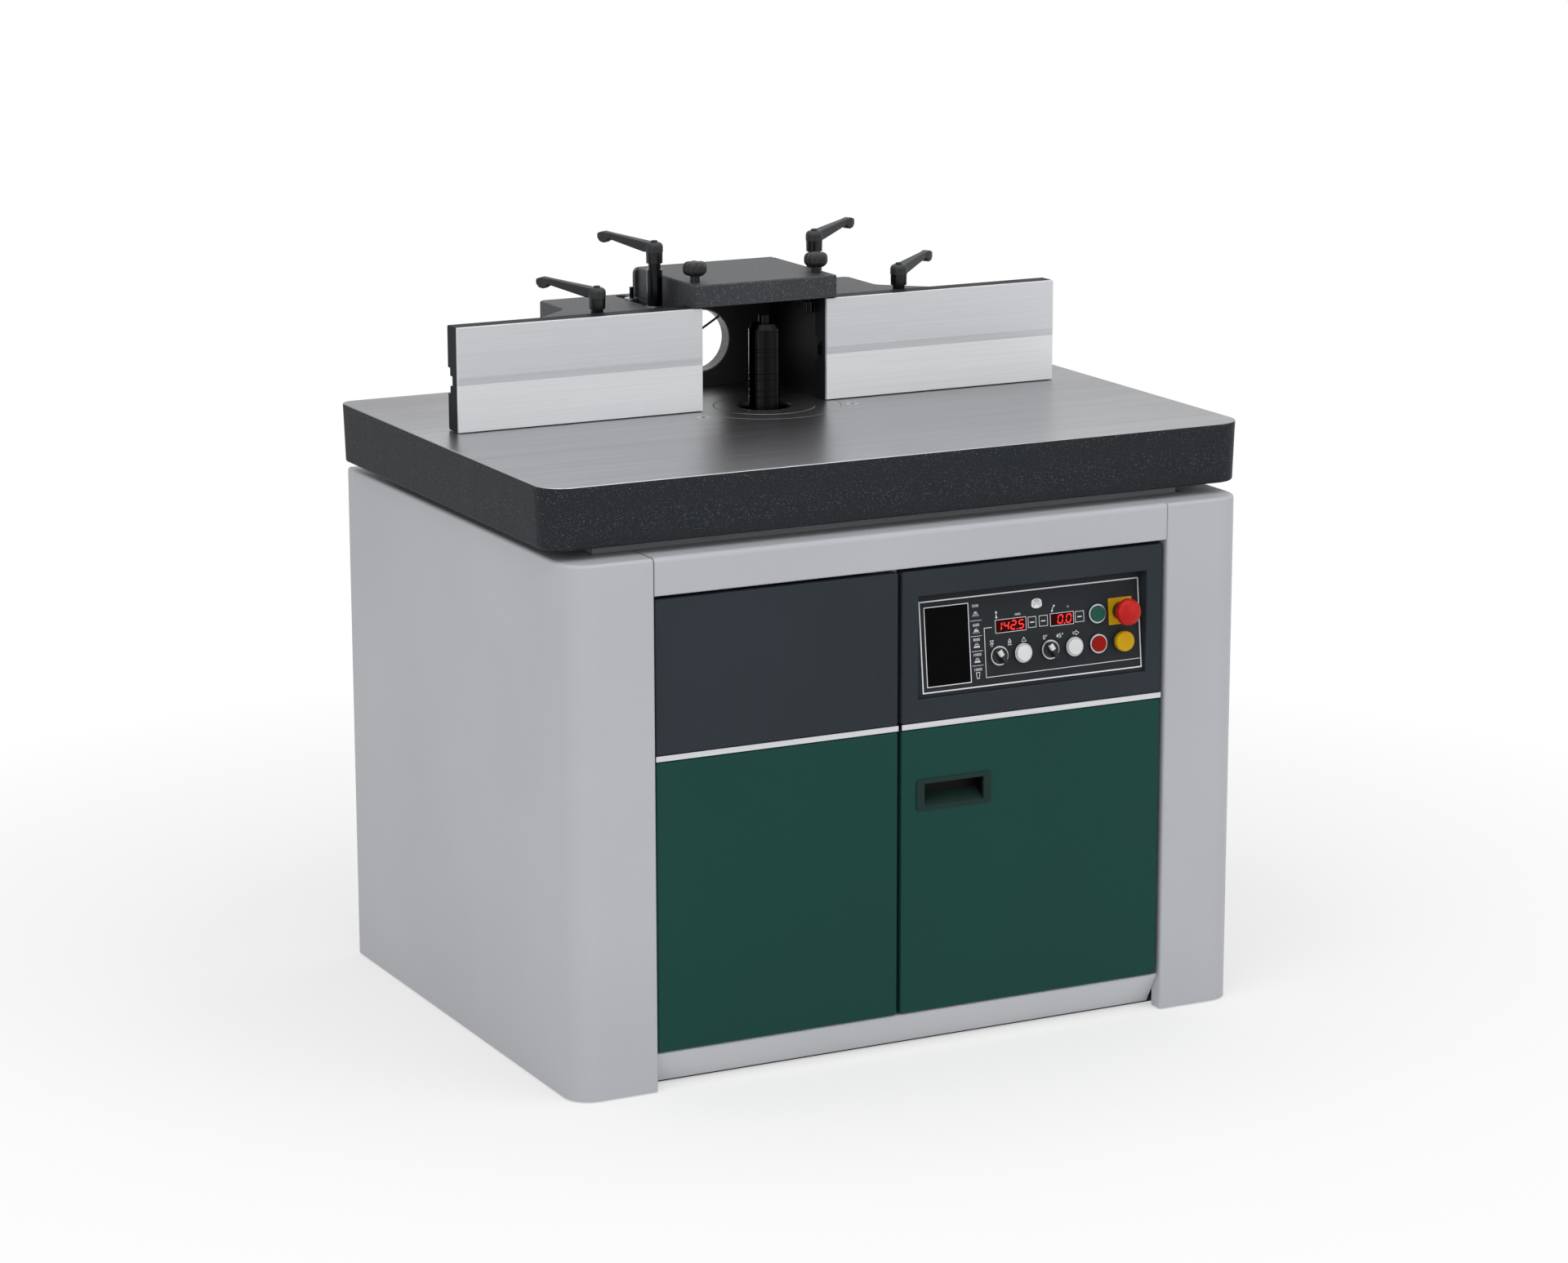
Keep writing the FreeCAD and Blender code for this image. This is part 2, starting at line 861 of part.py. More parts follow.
def push_button(name):
    """Flush button cap with its plunger."""
    u, v = devices()[name]
    front = -bezel_height - cap_proud
    back = -bezel_floor - button_travel - cap_play
    cap = plate_rod(cap_radius, u, v, (front, back))
    cap = rounded(cap, cap_edge, lambda c, b: near(b.YMax, plate_base_y + front) and b.XLength > cap_radius)
    return on_plate(cap.fuse(stem(u, v, back)))


def yellow_button():
    """Wide yellow button over its collar."""
    u, v = devices()["yellow_button"]
    back = -yellow_collar - button_travel - cap_play
    cap = plate_rod(yellow_radius, u, v, (back - yellow_height, back))
    cap = rounded(cap, 2 * cap_edge, lambda c, b: near(b.YMax, plate_base_y + back - yellow_height)
                  and b.XLength > yellow_radius)
    return on_plate(cap.fuse(stem(u, v, back)))


def stop_button():
    """Red mushroom with its plunger."""
    u, v = devices()["stop_button"]
    back = plate_base_y - legend_thickness - stop_collar - stop_travel - cap_play
    front = back - stop_height
    dome = stop_height * 0.5
    profile = [(0, front)]
    for i in range(1, 7):
        turn = math.radians(15 * i)
        profile.append((stop_radius * math.sin(turn), front + dome * (1 - math.cos(turn))))
    profile += [(stop_radius, front + 0.7 * stop_height), (0.8 * stop_radius, back), (0, back)]
    head = revolve_y(profile, plate_base_x + u, plate_base_z + v)
    return on_plate(head.fuse(stem(u, v, back - plate_base_y)))


def stop_legend():
    """Square plate behind the mushroom."""
    u, v = devices()["stop_button"]
    half = legend_size / 2
    plate = plate_box((u - half, u + half), (v - half, v + half), (-legend_thickness, 0))
    return on_plate(plate.cut(plate_rod(neck_radius + neck_play, u, v, (-legend_thickness - 1, 1))))


def selector(name):
    """Turning knob with a bar grip."""
    u, v = devices()[name]
    back = -bezel_floor - button_travel - cap_play
    front = -bezel_height - cap_proud
    disc = plate_rod(cap_radius, u, v, (front, back))
    half = selector_bar_length / 2
    bar = plate_box((u - selector_bar_width / 2, u + selector_bar_width / 2), (v - half, v + half),
                    (front - selector_bar_height, front))
    bar = bar.common(plate_rod(half, u, v, (front - selector_bar_height - 1, front + 1)))
    bar.rotate(V(plate_base_x + u, plate_base_y, plate_base_z + v), V(0, 1, 0), -selector_rest)
    return on_plate(disc.fuse([bar, stem(u, v, back)]))


def service_door():
    """Green door with hinge bosses and the cut-out of its grip."""
    x = right_panel_x
    door = hollow_tray(x, (door_low, door_top))
    bosses = [post(hinge_boss_radius, door_low, door_low + hinge_boss_height, hinge_x, hinge_y),
              post(hinge_boss_radius, door_top - hinge_boss_height, door_top, hinge_x, hinge_y)]
    bores = [post(hinge_pin_radius + hinge_play, door_low - 1, door_low + hinge_pin_length, hinge_x, hinge_y),
             post(hinge_pin_radius + hinge_play, door_top - hinge_pin_length, door_top + 1, hinge_x, hinge_y)]
    half_x = pull_width / 2 - pull_end_rim + pull_wall + pull_play
    half_z = pull_height / 2 - pull_rim + pull_wall + pull_undercut + pull_play
    hole = box((pull_x - half_x, pull_x + half_x), (panel_front - 1, panel_front + sheet + 1),
               (pull_z - half_z, pull_z + half_z))
    return door.fuse(bosses).cut(bores + [hole])


def door_pull():
    """Recessed grip: flange, cup with a rising floor, and a finger space behind the upper lip."""
    front = panel_front - pull_flange
    flange = prism_y(rectangle(pull_x - pull_width / 2, pull_x + pull_width / 2,
                               pull_z - pull_height / 2, pull_z + pull_height / 2),
                     (front, panel_front), panel_corner)
    flange = rounded(flange, pull_flange / 2, lambda c, b: near(b.YMax, front))
    half_x = pull_width / 2 - pull_end_rim
    half_z = pull_height / 2 - pull_rim
    cup = box((pull_x - half_x - pull_wall, pull_x + half_x + pull_wall),
              (panel_front, panel_front + pull_depth),
              (pull_z - half_z - pull_wall, pull_z + half_z + pull_undercut + pull_wall))
    mouth = box((pull_x - half_x, pull_x + half_x), (front - 1, panel_front + pull_depth - pull_wall),
                (pull_z - half_z, pull_z + half_z))
    behind = box((pull_x - half_x, pull_x + half_x), (panel_front, panel_front + pull_depth - pull_wall),
                 (pull_z, pull_z + half_z + pull_undercut))
    low = pull_z - half_z
    ramp = prism_x([(front + pull_flange / 2, low), (panel_front + pull_depth, low),
                    (panel_front + pull_depth, low + pull_ramp)], (pull_x - half_x, pull_x + half_x))
    return flange.fuse(cup).cut([mouth, behind]).fuse(ramp)


def door_fittings():
    """Pivot pins above and below the door and the magnet catch on the centre post."""
    low_pin = post(hinge_pin_radius, plinth_height, door_low + hinge_pin_length - 1, hinge_x, hinge_y)
    high_pin = post(hinge_pin_radius, door_top - hinge_pin_length + 1, upper_low, hinge_x, hinge_y)
    z = (door_low + catch_rise, door_low + catch_rise + catch_height)
    foot = box((middle_x, middle_x + catch_width), (panel_back + catch_gap, panel_back + catch_depth), z)
    pole = box((middle_x + 2 * sheet, middle_x + catch_width),
               (panel_front + sheet + catch_gap, panel_back + catch_gap), z)
    return [low_pin, high_pin, foot.fuse(pole).removeSplitter()]


def table_outline(inset, z, corners):
    """Plan outline of the table, drawn in by the amount given."""
    points = rectangle(table_left + inset, table_right - inset, table_front + inset, table_back - inset)
    return outline(points, corners, lambda p: V(p.x, p.y, z))


def table():
    """Ribbed cast table, drawn in towards its foot, with the stepped spindle opening."""
    corners = [table_front_corner] * 2 + [table_back_corner] * 2
    foot = table_outline(table_draft, table_bottom, [r - table_draft for r in corners])
    block = Part.makeLoft([foot, table_outline(0, table_height, corners)], True, True)
    block = rounded(block, table_foot_edge, lambda c, b: near(b.ZMax, table_bottom))
    block = rounded(block, table_top_edge, lambda c, b: near(b.ZMin, table_height))
    depth = plate_under - table_bottom + 1
    hollow = Part.Face(table_outline(table_rim, table_bottom - 1, [bay_corner] * 4)).extrude(V(0, 0, depth))
    rib_z = (table_bottom, plate_under)
    rim_y = (table_front + table_rim - 1, table_back - table_rim + 1)
    ribs = []
    for x in (-bracket_out - rib_thickness, bracket_out):
        ribs.append(box((x, x + rib_thickness), rim_y, rib_z))
    for y in (-cross_rib_y, cross_rib_y):
        span = (y - rib_thickness / 2, y + rib_thickness / 2)
        ribs.append(box((table_left + table_rim - 1, -bracket_out), span, rib_z))
        ribs.append(box((bracket_out, table_right - table_rim + 1), span, rib_z))
    boss = post(throat_radius + opening_boss, plate_under - opening_boss_height, plate_under)
    cuts = [post(opening_radius, ring_seat, table_height + 1),
            post(throat_radius, table_bottom - 1, table_height)]
    for side in (-1, 1):
        cuts.append(post(plug_radius, table_height - plug_depth, table_height + 1, side * plug_x, plug_y))
        cuts.append(post(stud_radius + stud_play, plate_under - 1, table_height + 1,
                         side * inner_lever_x, inner_lever_y))
        cuts.append(post(guide_radius + stud_play, plate_under - 1, table_height + 1,
                         side * inner_lever_x, guide_y))
        for y in bracket_bolt_y:
            cuts.append(bracket_bolt_hole(side, y))
    return block.cut(hollow).fuse(ribs + [boss]).cut(cuts).removeSplitter()


def bracket_bolt_hole(side, y):
    """Clear hole for one bracket bolt, through bracket and rib."""
    z = pivot_z - bracket_bolt_drop
    return rod(bracket_bolt_radius + stud_play, (side * (bracket_x - 1), y, z),
               (side * (bracket_out + rib_thickness + 1), y, z))


def table_rings():
    """Two stepped insert rings, one seated in the other, with bevelled top edges."""
    seat = table_height - inner_ring_height
    edge = table_height - ring_edge
    ledge = inner_ring_radius - ring_ledge
    socket = inner_ring_radius + ring_play
    outer = revolve_z([(ledge, ring_seat), (outer_ring_radius, ring_seat), (outer_ring_radius, edge),
                       (outer_ring_radius - ring_edge, table_height), (socket + ring_edge, table_height),
                       (socket, edge), (socket, seat), (ledge, seat)])
    inner = revolve_z([(ring_opening, seat), (inner_ring_radius, seat), (inner_ring_radius, edge),
                       (inner_ring_radius - ring_edge, table_height),
                       (ring_opening + ring_edge, table_height), (ring_opening, edge)])
    return [outer, inner]


def fasteners():
    """Bracket bolts, flush socket plugs, and the bright washers of the clamp posts."""
    solids = []
    z = pivot_z - bracket_bolt_drop
    for side in (-1, 1):
        for y in bracket_bolt_y:
            seat = (side * bracket_x, y, z)
            shank = rod(bracket_bolt_radius, seat, (side * (bracket_out + rib_thickness), y, z))
            head = rod(bolt_head_radius, (side * (bracket_x - bolt_head_height), y, z), seat)
            solids.append(shank.fuse(head))
        plug = post(plug_radius, table_height - plug_depth, table_height, side * plug_x, plug_y)
        socket = post(plug_socket, table_height - plug_depth / 2, table_height + 1, side * plug_x, plug_y)
        solids.append(plug.cut(socket))
        x = side * inner_lever_x
        high = wing_top + washer_height
        solids.append(tube(stud_radius + stud_play, washer_radius, wing_top, high, x, inner_lever_y))
        solids.append(tube(guide_pin_radius + stud_play, guide_washer_radius, wing_top, high, x, guide_y))
    return solids


def arc_point(radius, degrees):
    """Y and Z at an angle from straight down about the tilt axis, positive to the front."""
    turn = math.radians(degrees)
    return -radius * math.sin(turn), pivot_z - radius * math.cos(turn)


def trunnion_bracket():
    """Plate under the table with the curved guide slot, on the right."""
    y = bracket_y
    z = (pivot_z - bracket_low, pivot_z - bracket_top_gap)
    corner = 2 * bracket_plate
    plate = prism_x(rectangle(y[0], y[1], z[0], z[1]), (bracket_x, bracket_out), [corner, corner, 0, 0])
    span = (bracket_x - 1, bracket_out + 1)
    first = guide_pin_angles[0] - guide_slot_spare
    last = guide_pin_angles[1] + tilt_limit + guide_slot_spare
    ring = rod(guide_arc + guide_slot_half, (span[0], 0, pivot_z), (span[1], 0, pivot_z))
    ring = ring.cut(rod(guide_arc - guide_slot_half, (span[0] - 1, 0, pivot_z), (span[1] + 1, 0, pivot_z)))
    far = 2 * guide_arc
    wedge = prism_x([(0, pivot_z), arc_point(far, first), arc_point(far, (first + last) / 2),
                     arc_point(far, last)], span)
    ends = []
    for angle in (first, last):
        cy, cz = arc_point(guide_arc, angle)
        ends.append(rod(guide_slot_half, (span[0], cy, cz), (span[1], cy, cz)))
    holes = [bracket_bolt_hole(1, by) for by in bracket_bolt_y]
    return plate.cut([ring.common(wedge)] + ends + holes)


def trunnion_brackets():
    """Right and left bracket; the left one also carries the pinion shaft."""
    right = trunnion_bracket()
    py, pz = arc_point(mesh_distance, mesh_angle)
    shaft_hole = rod(pinion_shaft + stem_play, (-bracket_out - 1, py, pz), (-bracket_x + 1, py, pz))
    return [right, mirrored(right).cut(shaft_hole)]


def tooth(pitch_radius, angle, outward):
    """Four points of one tapered tooth, in the frame of its gear."""
    pitch = 2 * math.pi * tooth_share * gear_module / 2
    root = pitch_radius - 1.25 * gear_module * outward
    tip = pitch_radius + gear_module * outward
    wide = math.degrees(0.62 * pitch / pitch_radius)
    slim = math.degrees(0.34 * pitch / pitch_radius)
    return [(root, angle - wide), (tip, angle - slim), (tip, angle + slim), (root, angle + wide)]


def tilt_sector():
    """Toothed arc on the left side plate."""
    step = 360.0 / sector_teeth
    first = math.floor((-tilt_limit - sector_spare) / step)
    last = math.ceil(sector_spare / step)
    points = []
    for k in range(first, last + 1):
        points += tooth(sector_radius, mesh_angle + k * step, 1)
    ends = (mesh_angle + last * step + step, mesh_angle + first * step - step)
    inner = sector_radius - sector_web
    root = sector_radius - 1.25 * gear_module
    x = -side_plate_x - side_plate - gear_width
    outer = [arc_point(root, ends[1])] + [arc_point(r, a) for r, a in points] + [arc_point(root, ends[0])]
    edges = []
    for start, end in zip(outer, outer[1:]):
        edges.append(Part.LineSegment(V(x, *start), V(x, *end)).toShape())
    front = V(x, *arc_point(inner, ends[0]))
    middle = V(x, *arc_point(inner, sum(ends) / 2))
    back = V(x, *arc_point(inner, ends[1]))
    edges.append(Part.LineSegment(V(x, *outer[-1]), front).toShape())
    edges.append(Part.Arc(front, middle, back).toShape())
    edges.append(Part.LineSegment(back, V(x, *outer[0])).toShape())
    return Part.Face(Part.Wire(edges)).extrude(V(gear_width, 0, 0))


def tilt_pinion():
    """Pinion in mesh with the sector, with its shaft through the left bracket."""
    cy, cz = arc_point(mesh_distance, mesh_angle)
    step = 360.0 / pinion_teeth
    x = -side_plate_x - side_plate - gear_width
    points = []
    for k in range(pinion_teeth):
        points += tooth(pinion_radius, mesh_angle + 180 + (k + 0.5) * step, 1)
    ring = []
    for radius, angle in points:
        turn = math.radians(angle)
        ring.append((cy - radius * math.sin(turn), cz - radius * math.cos(turn)))
    gear = prism_x(ring, (x, x + gear_width))
    shaft = rod(pinion_shaft, (-bracket_out - bracket_plate, cy, cz), (x + gear_width, cy, cz))
    return gear.fuse(shaft)


def tilt_motor():
    """Gear motor of the tilt drive on the outside of the left bracket."""
    cy, cz = arc_point(mesh_distance, mesh_angle)
    half = tilt_motor_size / 2
    gear_end = box((-bracket_out - half, -bracket_out), (cy - half, cy + half), (cz - half, cz + half))
    body = rod(0.8 * half, (-bracket_out - tilt_motor_length, cy, cz), (-bracket_out - half, cy, cz))
    bore = rod(pinion_shaft + stem_play, (-bracket_out - bracket_plate - 1, cy, cz),
               (-bracket_out + 1, cy, cz))
    return gear_end.fuse(body).cut(bore)


def side_plate_solid(side):
    """One cheek of the tilt frame with its two guide pins and lower arm."""
    z = (frame_low, frame_top)
    shoulder = frame_low + tie_rise + tie_height + 2 * crossbar_height
    points = [(side_front_y, z[1]), (side_back_y, z[1]), (side_back_y, z[0]), (tie_y[0], z[0]),
              (tie_y[0], shoulder), (side_front_y, shoulder + 3 * crossbar_height)]
    x = (side_plate_x, side_plate_x + side_plate)
    plate = prism_x(points, x, crossbar_height)
    parts = [box((arm_inner, side_plate_x), crossbar_y, (frame_low, frame_low + crossbar_height))]
    for angle in guide_pin_angles:
        cy, cz = arc_point(guide_arc, angle)
        parts.append(rod(guide_pin, (x[1], cy, cz), (bracket_out - guide_pin_setback, cy, cz)))
    solid = plate.fuse(parts)
    return solid if side > 0 else mirrored(solid)


def tilt_frame():
    """Cheeks, crossbar, tie bar and toothed sector."""
    span = (-side_plate_x, side_plate_x)
    bar = box(span, crossbar_y, (frame_top - crossbar_height, frame_top))
    tie_low = frame_low + tie_rise
    tie = box(span, tie_y, (tie_low, tie_low + tie_height))
    solid = side_plate_solid(1).fuse([side_plate_solid(-1), bar, tie, tilt_sector()])
    bores = [post(column_radius, frame_low - 1, frame_top + 1, side * column_x, column_y) for side in (-1, 1)]
    bores.append(post(screw_radius, frame_low - 1, frame_top + 1, screw_x, screw_y))
    return solid.cut(bores).removeSplitter()


def lift_guides():
    """Two guide columns and the fixed lift screw, held in the tilt frame."""
    columns = [post(column_radius, frame_low, frame_top, side * column_x, column_y) for side in (-1, 1)]
    return columns + [post(screw_radius, frame_low, frame_top, screw_x, screw_y)]


def spindle_carriage():
    """Quill, motor deck and the two bushes that run on the columns."""
    deck = prism_z(rectangle(-motor_plate_half, motor_plate_half, motor_plate_front, motor_plate_back),
                   (carriage_low, deck_top), motor_plate_corner)
    parts = [post(quill_radius, carriage_low, quill_top),
             box((-column_x, column_x), web_y, (carriage_low, deck_top + web_height))]
    for side in (-1, 1):
        parts.append(post(bush_radius, carriage_low, carriage_low + bush_height, side * column_x, column_y))
    cuts = [post(quill_bore, carriage_low - 1, quill_top + 1),
            post(bearing_radius, carriage_low - 1, carriage_low + bearing_setback + bearing_height),
            post(bearing_radius, quill_top - bearing_setback - bearing_height, quill_top + 1),
            post(motor_shaft_radius + shaft_clear, carriage_low - 1, deck_top + 1, 0, motor_y),
            post(screw_radius + shaft_clear / 4, carriage_low - 1, quill_top, screw_x, screw_y)]
    for side in (-1, 1):
        cuts.append(post(column_radius + column_play, carriage_low - 1, quill_top, side * column_x, column_y))
    return deck.fuse(parts).cut(cuts).removeSplitter()


def spindle_bearings():
    """Upper and lower ball bearing: outer and inner race as one ring each."""
    low = carriage_low + bearing_setback
    high = quill_top - bearing_setback - bearing_height
    solids = []
    for z in (low, high):
        ring = tube(journal_radius + stem_play, bearing_radius, z, z + bearing_height)
        high_face = z + bearing_height
        for low_end, high_end in ((z - 1, z + race_depth), (high_face - race_depth, high_face + 1)):
            groove = tube(journal_radius + race_width, bearing_radius - race_width, low_end, high_end)
            ring = ring.cut(groove)
        solids.append(ring)
    return solids


def main_motor():
    """Finned motor standing on the deck beside the quill."""
    high = deck_top + motor_height
    body = post(motor_radius, deck_top, high, 0, motor_y)
    shaft_end = deck_top + motor_shaft_depth
    cuts = [post(motor_shaft_radius + motor_shaft_play, deck_top - 1, shaft_end + 1, 0, motor_y)]
    pitch = motor_height / (fin_count + 1)
    for i in range(fin_count):
        low = deck_top + (i + 1) * pitch - fin_gap / 2
        cuts.append(tube(motor_radius - fin_depth, motor_radius + 1, low, low + fin_gap, 0, motor_y))
    wide, deep, tall = terminal_box
    middle = deck_top + motor_height / 2
    cover = box((-motor_radius - wide + 2 * fin_depth, -motor_radius + 2 * fin_depth),
                (motor_y - deep / 2, motor_y + deep / 2), (middle - tall / 2, middle + tall / 2))
    return body.cut(cuts).fuse(cover)


def lift_gearbox():
    """Gear box with the driven nut, on the deck around the lift screw."""
    case = box(gearbox_x, gearbox_y, (deck_top, deck_top + gearbox_height))
    web = box((-column_x, column_x), web_y, (carriage_low, deck_top + web_height))
    bush = post(bush_radius, carriage_low, carriage_low + bush_height, column_x, column_y)
    bore = post(screw_radius + column_play, deck_top - 1, deck_top + gearbox_height + 1, screw_x, screw_y)
    return case.cut([web, bush, bore])


def stepped_pulley(steps, bore, y):
    """Pulley whose steps go down in the order given."""
    profile = [(bore, pulley_top)]
    for i, radius in enumerate(steps):
        high = pulley_top - i * pulley_step
        profile += [(radius, high), (radius, high - pulley_step)]
    profile.append((bore, pulley_low))
    return revolve_z(profile, 0, y)


def motor_pulley():
    """Stepped motor pulley on the motor shaft."""
    shaft = post(motor_shaft_radius, pulley_low, deck_top + motor_shaft_depth, 0, motor_y)
    return [stepped_pulley(motor_steps, motor_shaft_radius, motor_y), shaft]


def belt_loop(small, large, z):
    """Filled loop round two discs, one on the spindle and one on the motor."""
    lean = math.asin((large - small) / motor_y)
    nx, ny = math.cos(lean), -math.sin(lean)
    a = (small * nx, small * ny)
    b = (large * nx, motor_y + large * ny)

    def place(p):
        return V(p[0], p[1], z[0])

    edges = [Part.LineSegment(place(a), place(b)).toShape(),
             Part.Arc(place(b), place((0, motor_y + large)), place((-b[0], b[1]))).toShape(),
             Part.LineSegment(place((-b[0], b[1])), place((-a[0], a[1]))).toShape(),
             Part.Arc(place((-a[0], a[1])), place((0, -small)), place(a)).toShape()]
    return Part.Face(Part.Wire(edges)).extrude(V(0, 0, z[1] - z[0]))


def drive_belt():
    """Flat belt on one pair of steps."""
    middle = pulley_top - (belt_step + 0.5) * pulley_step
    z = (middle - belt_width / 2, middle + belt_width / 2)
    small = spindle_steps[belt_step] + belt_play
    large = motor_steps[belt_step] + belt_play
    outer = belt_loop(small + belt_thickness, large + belt_thickness, z)
    return outer.cut(belt_loop(small, large, (z[0] - 1, z[1] + 1)))


def spindle_shaft():
    """Journal, shoulder and tool seat in one turned piece."""
    shoulder = pivot_z - flange_low
    return revolve_z([(0, pulley_low), (journal_radius, pulley_low), (journal_radius, quill_top),
                      (journal_radius, shoulder), (ring_radius, shoulder), (ring_radius, stack_low),
                      (spindle_radius, stack_low), (spindle_radius, stack_top), (0, stack_top)])


def spacer_rings():
    """Stack of spacer rings with small edge bevels."""
    solids = []
    low = stack_low
    for height in ring_heights:
        inner = spindle_radius + ring_bore_play
        bevel = ring_radius - ring_groove
        high = low + height
        solids.append(revolve_z([(inner, low), (bevel, low), (ring_radius, low + ring_groove),
                                 (ring_radius, high - ring_groove), (bevel, high), (inner, high)]))
        low = high
    return solids


def spindle_cap():
    """Tapered clamp cap and its socket screw."""
    step = stack_top + cap_step
    top = stack_top + cap_height
    head = top + bolt_height
    cap = revolve_z([(0, stack_top), (ring_radius, stack_top), (ring_radius, step), (cap_top_radius, top),
                     (bolt_radius, top), (bolt_radius, head), (0, head)])
    return cap.cut(post(bolt_socket_radius, head - bolt_socket_depth, head + 1))


def spindle_pulley():
    """Stepped pulley on the lower end of the spindle."""
    return stepped_pulley(spindle_steps, journal_radius, 0)


def wing_points(grow):
    """Outline of the left wing, drawn in by the amount given."""
    inner = -cheek_x - grow * cheek_wall / wing_wall
    return [(inner, wing_front + grow), (-wing_tip_x + grow, wing_front + grow),
            (-wing_tip_x + grow, wing_tip_y), (-wing_half_width + grow / 2, wing_notch_y - grow),
            (-wing_half_width + grow, wing_back - grow), (inner, wing_back - grow)]


def wing():
    """Left hollow wing: walls, top plate, clamp slot and lever hole."""
    radii = [0, 0, wing_corner, wing_notch_round, wing_corner, 0]
    shell = prism_z(wing_points(0), (table_height, wing_top), radii)
    shell = rounded(shell, wing_top_edge, lambda c, b: near(b.ZMin, wing_top) and c.x < -cheek_x - 1
                    and c.y > wing_front + 1)
    radii = [0, 0, 0, wing_notch_round + wing_wall, wing_corner - wing_wall, 0]
    hollow = prism_z(wing_points(wing_wall), (table_height - 1, wing_top - wing_wall), radii)
    half = slot_width / 2
    slot = prism_z(rectangle(-inner_lever_x - half, -inner_lever_x + half, slot_front, slot_back),
                   (wing_top - wing_wall - 1, wing_top + 1), 0.49 * slot_width)
    lever_hole = post(stud_radius, wing_top - wing_wall - 1, wing_top + 1, -outer_lever_x, outer_lever_y)
    shank_hole = rod(clamp_shank_radius + slide_play, (-outer_lever_x, wing_front - 1, slot_z),
                     (-outer_lever_x, wing_front + wing_wall + 1, slot_z))
    return shell.cut([hollow, slot, lever_hole, shank_hole])


def fence_housing():
    """Casting of two wings joined by the rear wall with the dust opening."""
    rear = (rear_wall_y, rear_wall_y + rear_wall)
    wall = prism_y(rectangle(-rear_wall_half, rear_wall_half, table_height, hood_top_z), rear,
                   [0, 0, rear_wall_corner, rear_wall_corner])
    left = wing()
    solid = left.fuse([mirrored(left), wall])
    hole = rod(spigot_radius + spigot_play, (spigot_x, rear[0] - 1, spigot_z),
               (spigot_x, rear[1] + 1, spigot_z))
    return solid.cut(hole).removeSplitter()


def dust_spigot():
    """Round spigot with a rear flange, and the thin guard rod across it."""
    y = (rear_wall_y, rear_wall_y + spigot_length)
    outer = rod(spigot_radius, (spigot_x, y[0], spigot_z), (spigot_x, y[1], spigot_z))
    seat = rear_wall_y + rear_wall
    flange = rod(spigot_radius + spigot_flange, (spigot_x, seat, spigot_z),
                 (spigot_x, seat + spigot_flange_thickness, spigot_z))
    inner_radius = spigot_radius - spigot_wall
    inner = rod(inner_radius, (spigot_x, y[0] - 1, spigot_z), (spigot_x, y[1] + 1, spigot_z))
    turn = math.radians(rod_angle)
    middle = (spigot_x - rod_offset * math.sin(turn), spigot_z + rod_offset * math.cos(turn))
    ends = []
    for way in (-1, 1):
        ends.append((middle[0] + way * spigot_radius * math.cos(turn), seat,
                     middle[1] + way * spigot_radius * math.sin(turn)))
    guard = rod(rod_radius, ends[0], ends[1]).common(inner)
    return [outer.fuse(flange).cut(inner), guard]


def soft_post(radius, edge, low, high, x, y):
    """Upright cylinder with both rims rounded."""
    return rounded(post(radius, low, high, x, y), edge, lambda c, b: near(b.ZLength, 0))


def lobed(radius, lobe, edge, low, high, x, y):
    """Star-shaped grip with soft round lobes about a core."""
    reach = radius - lobe
    lobes = []
    for i in range(knob_lobes):
        turn = 2 * math.pi * i / knob_lobes
        lobes.append(soft_post(lobe, edge, low, high,
                               x + reach * math.cos(turn), y + reach * math.sin(turn)))
    return soft_post(reach + 0.15 * lobe, edge, low, high, x, y).fuse(lobes)


def fence_fittings():
    """Hood brackets, star nuts under them and the clamps of the fence plates."""
    solids = []
    for side in (-1, 1):
        outer = hood_half_width - hood_sheet - hood_side_play
        x = sorted((side * bracket_inner, side * outer))
        block = box(x, (bracket_front, bracket_front + bracket_depth), (wing_top, hood_under))
        bore = post(knob_screw_radius + thread_play, hood_top_z - knob_screw_length - 1, hood_under + 1,
                    side * knob_x, knob_y)
        step = box((x[0] - 1, x[1] + 1), (bracket_front - 1, wing_front),
                   (wing_top - 1, fence_top + hood_foot_gap))
        solids.append(block.cut([bore, step]))
        solids.append(lobed(nut_radius + nut_lobe / 2, nut_lobe, nut_edge, wing_top - nut_height, wing_top,
                            side * nut_x, nut_y))
        solids.append(plate_clamp(side * outer_lever_x))
    return solids


def plate_clamp(x):
    """Tee head in the backing's slot, shank through the wing and block under the lever."""
    head_y = backing_back - slot_depth + slide_play
    head = box((x - clamp_head / 2, x + clamp_head / 2), (head_y, head_y + slot_head_depth - 2 * slide_play),
               (slot_z - slot_head_width / 2 + slide_play, slot_z + slot_head_width / 2 - slide_play))
    block_y = wing_front + wing_wall
    shank = rod(clamp_shank_radius, (x, head_y, slot_z), (x, block_y + 1, slot_z))
    block = box((x - clamp_block_width / 2, x + clamp_block_width / 2),
                (block_y, block_y + clamp_block_depth),
                (slot_z - 2 * clamp_shank_radius, slot_z + clamp_block_rise))
    bore = post(lever_stud_radius + stud_play, slot_z, wing_top, x, outer_lever_y)
    return head.fuse([shank, block]).cut(bore)


